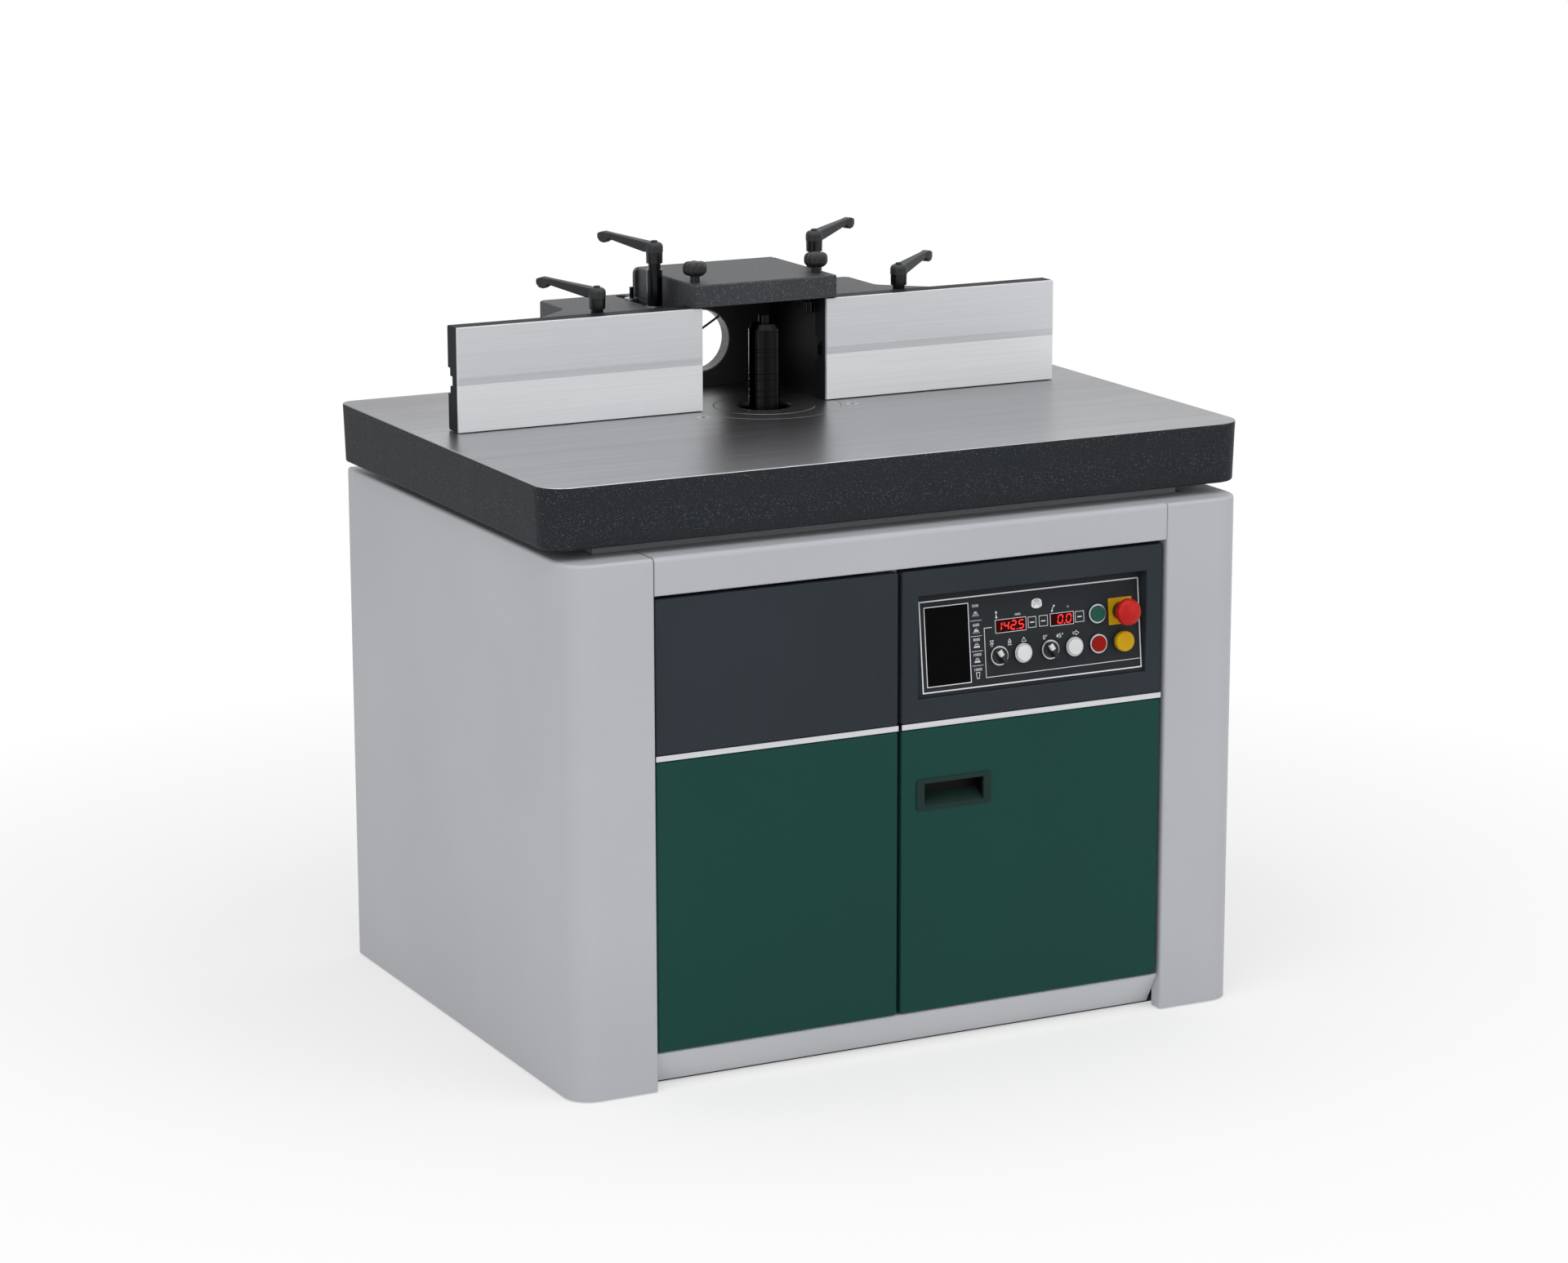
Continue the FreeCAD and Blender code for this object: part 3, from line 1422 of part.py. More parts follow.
def hood_lid():
    """Folded lid: top sheet, deep front flange, and sides that reach down to the wings."""
    x = (-hood_half_width, hood_half_width)
    y = (-hood_front, rear_wall_y - hood_back_gap)
    foot = wing_top + hood_foot_gap
    block = box(x, y, (foot, hood_top_z))
    block = rounded(block, hood_bend, lambda c, b: near(b.ZMin, hood_top_z) and c.y < y[1] - 1
                    or near(b.YMax, y[0]) and near(c.z, (foot + hood_top_z) / 2))
    inside = box((x[0] + hood_sheet, x[1] - hood_sheet), (y[0] + hood_sheet, y[1] + 1),
                 (foot - 1, hood_under))
    span = (x[0] - 1, x[1] + 1)
    under = [box(span, (y[0] - 1, y[0] + hood_sheet), (foot - 1, hood_top_z - hood_flange)),
             box(span, (y[0] - 1, wing_front), (foot - 1, fence_top + hood_foot_gap))]
    holes = [post(knob_screw_radius + screw_play, hood_under - 1, hood_top_z + 1, side * knob_x, knob_y)
             for side in (-1, 1)]
    return block.cut([inside] + under + holes)


def hood_knob(side):
    """Star knob with its stem and captive screw."""
    x = side * knob_x
    low = hood_top_z + knob_stem_height
    head = lobed(knob_radius, knob_lobe_radius, knob_edge, low, low + knob_height, x, knob_y)
    stem_part = post(knob_stem_radius, hood_top_z, low, x, knob_y)
    screw = post(knob_screw_radius, hood_top_z - knob_screw_length, hood_top_z, x, knob_y)
    return head.fuse([stem_part, screw])


def fence_face(x):
    """Aluminium facing with a shallow groove along it."""
    y = (fence_front, backing_front)
    face = box(x, y, (fence_low, fence_top))
    face = rounded(face, face_edge, lambda c, b: near(b.YMax, fence_front))
    high = fence_top - face_groove_drop
    groove = prism_x([(fence_front - 1, high), (fence_front, high),
                      (fence_front + face_groove_depth, high - face_groove_height),
                      (fence_front - 1, high - face_groove_height)], (x[0] - 1, x[1] + 1))
    return face.cut(groove)


def fence_backing(x):
    """Dark profile behind the facing; its tee slot is closed near the outer end."""
    y = (backing_front, backing_back)
    body = box(x, y, (fence_low, fence_top))
    body = rounded(body, backing_edge,
                   lambda c, b: near(b.YMin, backing_back) and b.XLength > fence_length / 2)
    span = (x[0] - 1, x[1] + 1)
    tee = (x[0] + slot_stop, span[1]) if x[0] < 0 else (span[0], x[1] - slot_stop)
    floor = backing_back - slot_depth
    past = backing_back + 1
    cuts = []
    for along, width, y in ((span, slot_recess_width, (backing_back - slot_recess_depth, past)),
                            (span, slot_opening, (backing_back - slot_mouth_depth, past)),
                            (tee, slot_opening, (floor, past)),
                            (tee, slot_head_width, (floor, floor + slot_head_depth))):
        cuts.append(box(along, y, (slot_z - width / 2, slot_z + width / 2)))
    return body.cut(cuts)


def clamp_lever(x, y, low, heading, sleeve_low, stud_low):
    """Adjustable clamp lever: collar, dome, screw and a rising arm with a hooked tip."""
    dome_low = low + collar_height
    dome_top = dome_low + dome_height
    hub = revolve_z([(0, low), (collar_radius - collar_taper, low), (collar_radius, dome_low),
                     (dome_radius, dome_low), (dome_radius, dome_top), (0, dome_top)], x, y)
    hub = rounded(hub, dome_round, lambda c, b: near(b.ZMin, dome_top))
    screw_top = dome_top + lever_screw_height
    screw = post(lever_screw_radius, dome_top - 1, screw_top, x, y)
    key = [(x + key_radius * math.cos(i * math.pi / 3), y + key_radius * math.sin(i * math.pi / 3))
           for i in range(6)]
    socket = prism_z(key, (screw_top - key_depth, screw_top + 1))
    reach = lever_reach
    rise = lever_tip_rise
    side = [(0, dome_low), (0.15 * reach, dome_low), (0.79 * reach, dome_low + 0.56 * rise),
            (0.8 * reach, dome_low + 0.44 * rise), (0.86 * reach, dome_low + 0.3 * rise),
            (0.94 * reach, dome_low + 0.36 * rise), (reach, dome_low + 0.64 * rise),
            (0.985 * reach, dome_low + 0.88 * rise), (0.9 * reach, dome_low + rise),
            (0.76 * reach, dome_low + 0.94 * rise), (0.1 * reach, dome_top), (0, dome_top)]
    rounding = (0, 0, 0.25, 0.25, 0.83, 1, 0.67, 0.5, 1, 1, 0, 0)
    half = dome_radius
    arm = prism_y(side, (-half, half), [share * lever_tip_round for share in rounding])
    plan = [(0, -0.72 * half), (0.75 * reach, -0.42 * half), (0.9 * reach, -0.55 * half),
            (reach, -0.45 * half), (reach, 0.45 * half), (0.9 * reach, 0.55 * half),
            (0.75 * reach, 0.42 * half), (0, 0.72 * half)]
    bend = lever_plan_round
    tip = lever_end_round
    arm = arm.common(prism_z(plan, (low, dome_top + 3 * half), [0, bend, bend, tip, tip, bend, bend, 0]))
    arm = rounded(arm, lever_edge, lambda c, b: b.XLength > b.YLength and b.XMax > 1)
    arm.rotate(V(0, 0, 0), V(0, 0, 1), heading)
    arm.translate(V(x, y, 0))
    solid = hub.fuse([arm, screw]).cut(socket)
    if stud_low is None:
        return solid.cut(post(lever_stud_radius + stud_play, low - 1, low + lever_socket + 1, x, y))
    sleeve = post(sleeve_radius, sleeve_low, low, x, y)
    return solid.fuse([sleeve, post(lever_stud_radius, stud_low, sleeve_low, x, y)])


def outer_lever(side, heading):
    """Lever of a fence plate, with its stud in the clamp block."""
    return clamp_lever(side * outer_lever_x, outer_lever_y, outer_lever_z, heading,
                       wing_top, slot_z + 2 * clamp_shank_radius)


def inner_lever(side, heading):
    """Lever on top of a clamp post."""
    return clamp_lever(side * inner_lever_x, inner_lever_y, inner_lever_z, heading, None, None)


def clamp_posts():
    """Studs in the table with the tall posts, and the guide studs behind them."""
    solids = []
    shoulder = wing_top + washer_height
    post_top = table_height + post_rise
    for side in (-1, 1):
        x = side * inner_lever_x
        solids.append(revolve_z([(0, plate_under), (stud_radius, plate_under), (stud_radius, shoulder),
                                 (post_radius, shoulder), (post_radius, post_top), (sleeve_radius, post_top),
                                 (sleeve_radius, inner_lever_z), (lever_stud_radius, inner_lever_z),
                                 (lever_stud_radius, inner_lever_z + lever_socket),
                                 (0, inner_lever_z + lever_socket)], x, inner_lever_y))
        guide = post(guide_radius, plate_under, wing_top, x, guide_y)
        pin = post(guide_pin_radius, wing_top, shoulder + guide_pin_height, x, guide_y)
        solids.append(guide.fuse(pin))
    return solids


def electrics():
    """Switchgear box on the left upright and the cable gland in the back panel."""
    left = frame_left + upright_thickness
    y = (back_plane - beam_depth - box_depth, back_plane - beam_depth)
    case = box((left, left + box_width), y, (box_low, box_low + box_height))
    case = rounded(case, box_edge, lambda c, b: near(b.XMin, left + box_width))
    outside = back_plane + sheet
    thread = rod(gland_thread, (gland_x, back_plane - gland_inner, gland_z), (gland_x, outside, gland_z))
    corners = [(gland_x + gland_radius * math.cos(math.radians(60 * i)),
                gland_z + gland_radius * math.sin(math.radians(60 * i))) for i in range(6)]
    hexagon = prism_y(corners, (outside, outside + gland_length / 2))
    nose = rod(0.8 * gland_radius, (gland_x, outside, gland_z), (gland_x, outside + gland_length, gland_z))
    bore = rod(gland_bore, (gland_x, back_plane - gland_inner - 1, gland_z),
               (gland_x, outside + gland_length + 1, gland_z))
    return [case, thread.fuse([hexagon, nose]).cut(bore)]


def main():
    """Build and write every node."""
    os.makedirs("parts", exist_ok=True)
    side = left_side_panel()
    left_plate_x = (-fence_gap_left - fence_length, -fence_gap_left)
    right_plate_x = (fence_gap_right, fence_gap_right + fence_length)
    save("base_plate", base_plate())
    save("chassis_frame", *chassis_frame())
    save("left_side_panel", side)
    save("right_side_panel", mirrored(side, table_offset))
    save("back_panel", back_panel())
    save("front_rail", front_rail())
    save("plinth", plinth())
    save("upper_left_panel", hollow_tray(left_panel_x, (upper_low, upper_top)))
    save("lower_left_panel", hollow_tray(left_panel_x, (door_low, door_top)))
    save("control_housing", control_housing())
    save("trim_strips", *trim_strips())
    save("control_plate", control_plate())
    save("panel_windows", *panel_windows())
    save("control_bezels", *control_bezels())
    save("stop_legend", stop_legend())
    for name in ("green_button", "red_button", "rise_button", "tilt_button"):
        save(name, push_button(name))
    save("yellow_button", yellow_button())
    save("stop_button", stop_button())
    for name in ("rise_selector", "tilt_selector"):
        save(name, selector(name))
    save("service_door", service_door())
    save("door_pull", door_pull())
    save("door_fittings", *door_fittings())
    save("table", table())
    save("table_rings", *table_rings())
    save("fasteners", *fasteners())
    save("trunnion_brackets", *trunnion_brackets())
    save("tilt_motor", tilt_motor())
    save("tilt_pinion", tilt_pinion())
    save("tilt_frame", tilt_frame())
    save("lift_guides", *lift_guides())
    save("spindle_carriage", spindle_carriage())
    save("spindle_bearings", *spindle_bearings())
    save("main_motor", main_motor())
    save("lift_gearbox", lift_gearbox())
    save("motor_pulley", *motor_pulley())
    save("drive_belt", drive_belt())
    save("spindle_shaft", spindle_shaft())
    save("spacer_rings", *spacer_rings())
    save("spindle_cap", spindle_cap())
    save("spindle_pulley", spindle_pulley())
    save("fence_housing", fence_housing())
    save("dust_spigot", *dust_spigot())
    save("fence_fittings", *fence_fittings())
    save("hood_lid", hood_lid())
    save("left_hood_knob", hood_knob(-1))
    save("right_hood_knob", hood_knob(1))
    save("left_fence_face", fence_face(left_plate_x))
    save("left_fence_backing", fence_backing(left_plate_x))
    save("right_fence_face", fence_face(right_plate_x))
    save("right_fence_backing", fence_backing(right_plate_x))
    save("left_outer_lever", outer_lever(-1, left_outer_heading))
    save("right_outer_lever", outer_lever(1, right_outer_heading))
    save("left_inner_lever", inner_lever(-1, left_inner_heading))
    save("right_inner_lever", inner_lever(1, right_inner_heading))
    save("clamp_posts", *clamp_posts())
    save("electrics", *electrics())


main()
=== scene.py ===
import math

import bpy
import bmesh
from mathutils import Matrix, Vector


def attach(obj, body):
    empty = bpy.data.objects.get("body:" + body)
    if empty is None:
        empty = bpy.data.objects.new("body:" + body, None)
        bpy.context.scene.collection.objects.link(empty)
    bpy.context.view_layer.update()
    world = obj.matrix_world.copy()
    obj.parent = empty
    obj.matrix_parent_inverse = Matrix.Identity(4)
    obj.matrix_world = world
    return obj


# Looks of the spindle moulder, in metres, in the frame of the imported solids.
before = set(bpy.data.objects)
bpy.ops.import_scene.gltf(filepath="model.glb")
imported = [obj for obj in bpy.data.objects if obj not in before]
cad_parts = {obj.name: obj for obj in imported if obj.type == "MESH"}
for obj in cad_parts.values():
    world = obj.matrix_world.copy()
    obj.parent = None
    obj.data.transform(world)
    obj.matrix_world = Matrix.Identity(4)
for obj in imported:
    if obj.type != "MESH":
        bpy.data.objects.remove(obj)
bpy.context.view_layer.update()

# Camera, solved from the photograph
CAMERA_PLACE = (-3.0147, -6.0048, 2.0979)
CAMERA_YAW = 26.91
CAMERA_PITCH = -13.1
CAMERA_ROLL = -0.11
CAMERA_LENS = 102.58
SENSOR = 36.0

# Control plate: foot of the slanted plate, its lean, and how far print stands off it
PLATE_FOOT = Vector((0.0, -0.4727, 0.536))
PLATE_LEAN = math.radians(6.3)
PLATE_UP = Vector((0.0, math.sin(PLATE_LEAN), math.cos(PLATE_LEAN)))
PLATE_OUT = Vector((0.0, -math.cos(PLATE_LEAN), math.sin(PLATE_LEAN)))
PRINT_LIFT = 0.00015

# Printed marks on the plate, in millimetres: u to the right, v up the plate
INK_LINE = 1.9
INK_THIN = 0.7
BORDER = (19.2, 390.9, 0.0, 135.4)
WINDOW = (28.5, 99.8, 9.8, 124.8)
HEIGHT_DISPLAY = (145.5, 196.0, 77.0, 95.2)
TILT_DISPLAY = (238.5, 276.8, 77.8, 95.0)
KEYS = ((200.3, 213.5), (219.0, 232.9), (280.3, 294.9))
KEY_ROWS = (79.0, 94.6)
SPEEDS = (("3500", 120.3, 108.5), ("6500", 91.9, 83.6), ("8000", 70.3, 62.0), ("10000", 48.1, 40.0),
          ("15000", 26.2, 18.0))
SPEED_COLUMN = 112.5
SPEED_LINES = (98.6, 75.7, 53.5, 32.2)
SEGMENTS = {"0": "abcdef", "1": "bc", "2": "abdeg", "4": "bcfg", "5": "acdfg"}

# Selector grips, in millimetres: place on the plate, lean of the pointer, height of the grip's front,
# and how deep, proud, wide and long the white inlay is
SELECTORS = {"rise_selector": (147.2, 43.5), "tilt_selector": (233.6, 43.5)}
POINTER_LEAN = math.radians(30.0)
POINTER_FRONT = 16.0
POINTER_DEPTH = 5.0
POINTER_PROUD = 0.3
POINTER_HALF = 3.35
POINTER_SPAN = (0.6, 10.8)
POINTER_EDGE = 0.6

# Studio: ambient light level, floor disc, its share of white near the object, and the radii of its fade
AMBIENT = 0.42
FLOOR_RADIUS = 12.0
FLOOR_GAP = 0.002
FLOOR_LIFT = 0.5
FLOOR_SHADOW = 0.9
FLOOR_WHITE = 2.0

# Lamps: name, place, aim, width, height and power
LAMPS = (("overhead", (0.0, -0.6, 4.2), (0.0, -0.1, 0.5), 4.5, 4.5, 95.0),
         ("key", (-4.2, -3.2, 3.0), (0.0, -0.1, 0.6), 4.2, 4.2, 76.0),
         ("fill", (3.2, -4.6, 2.6), (0.0, -0.1, 0.6), 4.8, 4.8, 56.0))
GLOSS_STRIP = ("strip", (-3.4, -1.25, 1.0), (0.0, 0.0, 1.0), 0.2, 0.5, 5.0)

# Table: height of its top, how far the ground finish runs down the rounded edge, the slanted span over
# which it turns lighter, partly wear and partly painted reflection, and the spans over which its left
# rear corner turns darker, partly duller iron and partly painted darker reflection
TABLE_TOP = 0.889
GROUND_BAND = 0.0024
WEAR_AND_REFLECTION_SLANT = -0.45
WEAR_AND_REFLECTION_SPAN = (-0.12, 0.55)
DULL_AND_SHADE_X = (-0.2, -0.5)
DULL_AND_SHADE_Y = (-0.05, 0.3)

# Places where one node changes its finish or colour; some of them mark painted shade or light
# Box of the cutter chamber, inside which the casting is painted black as shade
CHAMBER_LOW = (-0.1157, -0.0076, 0.880)
CHAMBER_HIGH = (0.1157, 0.1975, 1.0795)
STOP_COLLAR_LOW = (0.338, -0.500, 0.555)
STOP_COLLAR_HIGH = (0.378, -0.400, 0.650)
LENS_LEFT = 0.120
SPIGOT_CENTRE = (-0.011, 0.961)
SPIGOT_BORE = 0.0477
STOP_RIM = 0.0192
# Depth past which the grip's recess walls are painted black as shade
GRIP_DEPTH = -0.4765
# Height of the facing's groove; below it the facing is partly painted lighter as light from the table
FACING_STEP = 0.9602
OUTER_COLLAR_TOP = 1.0673
INNER_COLLAR_TOP = 1.1212


def srgb(r, g, b):
    """Linear colour of an sRGB triple from 0 to 255."""
    def channel(c):
        c /= 255.0
        return c / 12.92 if c <= 0.04045 else ((c + 0.055) / 1.055) ** 2.4
    return (channel(r), channel(g), channel(b), 1.0)


def shade(colour, factor):
    """A lighter or darker version of a colour."""
    return tuple(min(1.0, c * factor) for c in colour[:3]) + (1.0,)


class Surface:
    """A node material built step by step round one Principled shader."""

    def __init__(self, name, roughness, metallic=0.0):
        self.material = bpy.data.materials.new(name)
        self.material.use_nodes = True
        self.nodes = self.material.node_tree.nodes
        self.links = self.material.node_tree.links
        self.shader = self.nodes["Principled BSDF"]
        self.shader.inputs["Roughness"].default_value = roughness
        self.shader.inputs["Metallic"].default_value = metallic
        self.place = self.nodes.new("ShaderNodeTexCoord").outputs["Object"]

    def set(self, socket, value):
        """Set one constant on the shader."""
        self.shader.inputs[socket].default_value = value
        return self

    def link(self, source, socket):
        """Feed one of the shader's sockets."""
        self.links.new(source, self.shader.inputs[socket])
        return self

    def stretched(self, scale):
        """Object coordinates scaled per axis."""
        node = self.nodes.new("ShaderNodeMapping")
        node.inputs["Scale"].default_value = scale
        self.links.new(self.place, node.inputs["Vector"])
        return node.outputs["Vector"]

    def noise(self, scale, detail=3.0, stretch=(1.0, 1.0, 1.0)):
        """Noise over the object, from 0 to 1."""
        node = self.nodes.new("ShaderNodeTexNoise")
        node.inputs["Scale"].default_value = scale
        node.inputs["Detail"].default_value = detail
        self.links.new(self.stretched(stretch), node.inputs["Vector"])
        return node.outputs["Fac"]

    def ramp(self, source, low, high):
        """Stretch a part of a 0 to 1 signal to the whole range."""
        node = self.nodes.new("ShaderNodeMapRange")
        node.inputs["From Min"].default_value = low
        node.inputs["From Max"].default_value = high
        self.links.new(source, node.inputs["Value"])
        return node.outputs["Result"]

    def between(self, source, low, high):
        """Turn a 0 to 1 signal into a span of numbers."""
        node = self.nodes.new("ShaderNodeMapRange")
        node.inputs["To Min"].default_value = low
        node.inputs["To Max"].default_value = high
        self.links.new(source, node.inputs["Value"])
        return node.outputs["Result"]

    def mix(self, source, first, second):
        """Colour from first to second as the signal goes from 0 to 1."""
        node = self.nodes.new("ShaderNodeMix")
        node.data_type = "RGBA"
        self.links.new(source, node.inputs["Factor"])
        colours = [socket for socket in node.inputs if socket.type == "RGBA"]
        for value, socket in zip((first, second), colours):
            if isinstance(value, tuple):
                socket.default_value = value
            else:
                self.links.new(value, socket)
        return [socket for socket in node.outputs if socket.type == "RGBA"][0]

    def math(self, operation, a, b=0.0, c=0.0):
        """One arithmetic step on signals or numbers."""
        node = self.nodes.new("ShaderNodeMath")
        node.operation = operation
        for value, socket in zip((a, b, c), node.inputs):
            if isinstance(value, (int, float)):
                socket.default_value = value
            else:
                self.links.new(value, socket)
        return node.outputs["Value"]

    def axis(self, name):
        """One object coordinate."""
        node = self.nodes.new("ShaderNodeSeparateXYZ")
        self.links.new(self.place, node.inputs["Vector"])
        return node.outputs[name]

    def normal_axis(self, name):
        """One component of the true surface normal."""
        geometry = self.nodes.new("ShaderNodeNewGeometry")
        node = self.nodes.new("ShaderNodeSeparateXYZ")
        self.links.new(geometry.outputs["True Normal"], node.inputs["Vector"])
        return node.outputs[name]

    def bump(self, source, strength, distance):
        """Relief from a signal."""
        node = self.nodes.new("ShaderNodeBump")
        node.inputs["Strength"].default_value = strength
        node.inputs["Distance"].default_value = distance
        self.links.new(source, node.inputs["Height"])
        self.links.new(node.outputs["Normal"], self.shader.inputs["Normal"])
        return self


def powder_coat(name, colour, roughness, gloss=0.2, grain=900.0, relief=0.25):
    """Smooth paint with a faint orange peel and slow tone changes."""
    s = Surface(name, roughness).set("Specular IOR Level", gloss)
    tone = s.mix(s.ramp(s.noise(3.0, 2.0), 0.3, 0.7), shade(colour, 0.965), shade(colour, 1.035))
    s.link(tone, "Base Color")
    s.link(s.between(s.noise(14.0), roughness - 0.05, roughness + 0.05), "Roughness")
    return s.bump(s.noise(grain, 2.0), relief, 0.0004).material


def speckle_coat(name, colour, fleck, roughness, grain, gloss=0.12):
    """Textured dark coat with fine light flecks."""
    s = Surface(name, roughness).set("Specular IOR Level", gloss)
    spots = s.ramp(s.noise(grain, 2.0), 0.58, 0.72)
    tone = s.mix(s.ramp(s.noise(4.0, 2.0), 0.3, 0.7), shade(colour, 0.93), shade(colour, 1.07))
    s.link(s.mix(spots, tone, fleck), "Base Color")
    return s.bump(s.noise(grain * 0.8, 3.0), 0.5, 0.0006).material


def brushed_metal(name, colour, roughness, stretch, depth=0.08):
    """Metal with fine lines along the axis that is stretched least."""
    s = Surface(name, roughness, 1.0)
    lines = s.noise(1.0, 3.0, stretch)
    s.link(s.mix(s.ramp(lines, 0.3, 0.7), shade(colour, 0.94), shade(colour, 1.05)), "Base Color")
    s.link(s.between(lines, roughness - 0.06, roughness + 0.08), "Roughness")
    return s.bump(lines, depth, 0.0002).material


def facing_surface():
    """Drawn aluminium facing, a little lighter below its groove, partly its own tone and partly painted
    light from the table.
    """
    s = Surface("fence_facing", 0.36, 0.5)
    lines = s.ramp(s.noise(1.0, 3.0, (4.0, 900.0, 900.0)), 0.3, 0.7)
    upper = s.mix(lines, srgb(194, 195, 198), srgb(204, 205, 208))
    # Lighter band below the groove: partly own tone, partly painted light thrown up from the table below
    lower_tone_and_painted_light = s.mix(lines, srgb(214, 215, 217), srgb(224, 225, 227))
    s.link(s.mix(s.math("LESS_THAN", s.axis("Z"), FACING_STEP), upper, lower_tone_and_painted_light), "Base Color")
    s.link(s.between(lines, 0.3, 0.42), "Roughness")
    return s.bump(lines, 0.08, 0.0002).material


def turned_black():
    """Blackened turned steel: fine lines round the upright axis draw the highlights out lengthwise."""
    s = Surface("turned_black", 0.22, 1.0).set("Anisotropic", 1.0).set("Anisotropic Rotation", 0.25)
    tangent = s.nodes.new("ShaderNodeTangent")
    tangent.direction_type = "RADIAL"
    tangent.axis = "Z"
    s.link(tangent.outputs["Tangent"], "Tangent")
    lines = s.noise(1.0, 2.0, (4.0, 4.0, 2400.0))
    s.link(s.mix(lines, srgb(22, 22, 23), srgb(30, 30, 31)), "Base Color")
    return s.bump(lines, 0.02, 0.0001).material


def moulded_plastic(name, colour, roughness, grain=700.0, relief=0.2, gloss=0.3):
    """Plastic with a fine moulded grain."""
    s = Surface(name, roughness).set("Specular IOR Level", gloss)
    tone = s.mix(s.ramp(s.noise(25.0, 2.0), 0.3, 0.7), shade(colour, 0.93), shade(colour, 1.07))
    s.link(tone, "Base Color")
    s.link(s.between(s.noise(60.0), roughness - 0.04, roughness + 0.06), "Roughness")
    return s.bump(s.noise(grain, 2.0), relief, 0.0003).material


def lever_surface(name, level):
    """Charcoal lever arm on a glossy black collar that ends at a level."""
    s = Surface(name, 0.45).set("Specular IOR Level", 0.3)
    cloud = s.noise(25.0, 2.0)
    arm = s.mix(cloud, srgb(35, 37, 39), srgb(40, 42, 44))
    black = s.mix(cloud, srgb(14, 14, 15), srgb(20, 20, 21))
    collar = s.math("LESS_THAN", s.axis("Z"), level)
    s.link(s.mix(collar, arm, black), "Base Color")
    s.link(s.between(collar, 0.45, 0.2), "Roughness")
    return s.bump(s.noise(700.0, 2.0), 0.15, 0.0003).material


def table_surface():
    """Ground iron on the top face, speckled paint on the skirt and below."""
    s = Surface("table_surface", 0.3).set("Specular IOR Level", 0.05)
    lines = s.noise(1.0, 4.0, (6.0, 900.0, 1.0))
    clouds = s.ramp(s.noise(5.0, 3.0, (0.5, 1.6, 1.0)), 0.3, 0.7)
    # Lighter towards the front right: partly wear, partly painted reflection
    slant = s.math("MULTIPLY_ADD", s.axis("X"), WEAR_AND_REFLECTION_SLANT, s.math("MULTIPLY", s.axis("Y"), -1.0))
    wear_and_reflection = s.math("MULTIPLY_ADD", s.ramp(slant, *WEAR_AND_REFLECTION_SPAN), 0.75, s.math("MULTIPLY", clouds, 0.25))
    ground = s.mix(wear_and_reflection, srgb(130, 131, 134), srgb(174, 175, 178))
    # Darker at the left rear corner: partly duller iron, partly painted darker reflection
    dull_and_shade = s.math("MULTIPLY", s.ramp(s.axis("X"), *DULL_AND_SHADE_X), s.ramp(s.axis("Y"), *DULL_AND_SHADE_Y))
    ground = s.mix(dull_and_shade, ground, srgb(112, 112, 115))
    streaks = s.ramp(s.noise(1.0, 3.0, (1.2, 70.0, 1.0)), 0.35, 0.65)
    ground = s.mix(s.math("MULTIPLY", streaks, 0.2), ground, srgb(126, 127, 129))
    ground = s.mix(s.math("MULTIPLY", s.ramp(lines, 0.35, 0.75), 0.35), ground, srgb(120, 121, 123))
    spots = s.ramp(s.noise(520.0, 2.0), 0.6, 0.74)
    paint = s.mix(spots, srgb(42, 45, 49), srgb(96, 99, 103))
    flat = s.math("GREATER_THAN", s.normal_axis("Z"), 0.35)
    high = s.math("GREATER_THAN", s.axis("Z"), TABLE_TOP - GROUND_BAND)
    top = s.math("MULTIPLY", flat, high)
    s.link(s.mix(top, paint, ground), "Base Color")
    s.link(top, "Metallic")
    sheen = s.math("MULTIPLY_ADD", streaks, 0.03, s.between(lines, 0.42, 0.5))
    s.link(s.math("MULTIPLY_ADD", top, -0.17, sheen), "Roughness")
    relief = s.math("MULTIPLY_ADD", top, s.math("MULTIPLY", lines, 0.25), s.math("MULTIPLY", spots, 0.4))
    return s.bump(relief, 0.35, 0.0004).material


def ring_surface():
    """Turned iron with fine concentric lines."""
    s = Surface("ring_surface", 0.32, 1.0)
    across = s.math("POWER", s.axis("X"), 2.0)
    radius = s.math("SQRT", s.math("ADD", across, s.math("POWER", s.axis("Y"), 2.0)))
    wave = s.math("SINE", s.math("MULTIPLY", radius, 4200.0))
    lines = s.math("MULTIPLY_ADD", wave, 0.5, 0.5)
    cloud = s.noise(30.0, 2.0)
    tone = s.math("MULTIPLY_ADD", cloud, 0.5, s.math("MULTIPLY", lines, 0.5))
    s.link(s.mix(tone, srgb(118, 119, 121), srgb(160, 161, 163)), "Base Color")
    return s.bump(lines, 0.12, 0.0002).material


def inside_box(s, low, high):
    """Signal that is 1 within a box of object coordinates."""
    total = None
    for name, a, b in zip("XYZ", low, high):
        value = s.axis(name)
        part = s.math("MULTIPLY", s.math("GREATER_THAN", value, a), s.math("LESS_THAN", value, b))
        total = part if total is None else s.math("MULTIPLY", total, part)
    return total


def casting_surface():
    """Speckled dark coat, painted near black as shade inside the cutter chamber."""
    s = Surface("fence_casting", 0.48).set("Specular IOR Level", 0.33)
    spots = s.ramp(s.noise(420.0, 2.0), 0.58, 0.72)
    tone = s.mix(s.ramp(s.noise(4.0, 2.0), 0.3, 0.7), srgb(42, 45, 49), srgb(50, 53, 57))
    coat = s.mix(spots, tone, srgb(98, 101, 106))
    # Painted shade: near black inside the cutter chamber box
    chamber_painted_shade = s.mix(s.noise(60.0, 3.0), srgb(8, 8, 8), srgb(16, 16, 16))
    s.link(s.mix(inside_box(s, CHAMBER_LOW, CHAMBER_HIGH), coat, chamber_painted_shade), "Base Color")
    return s.bump(s.noise(340.0, 3.0), 0.5, 0.0006).material


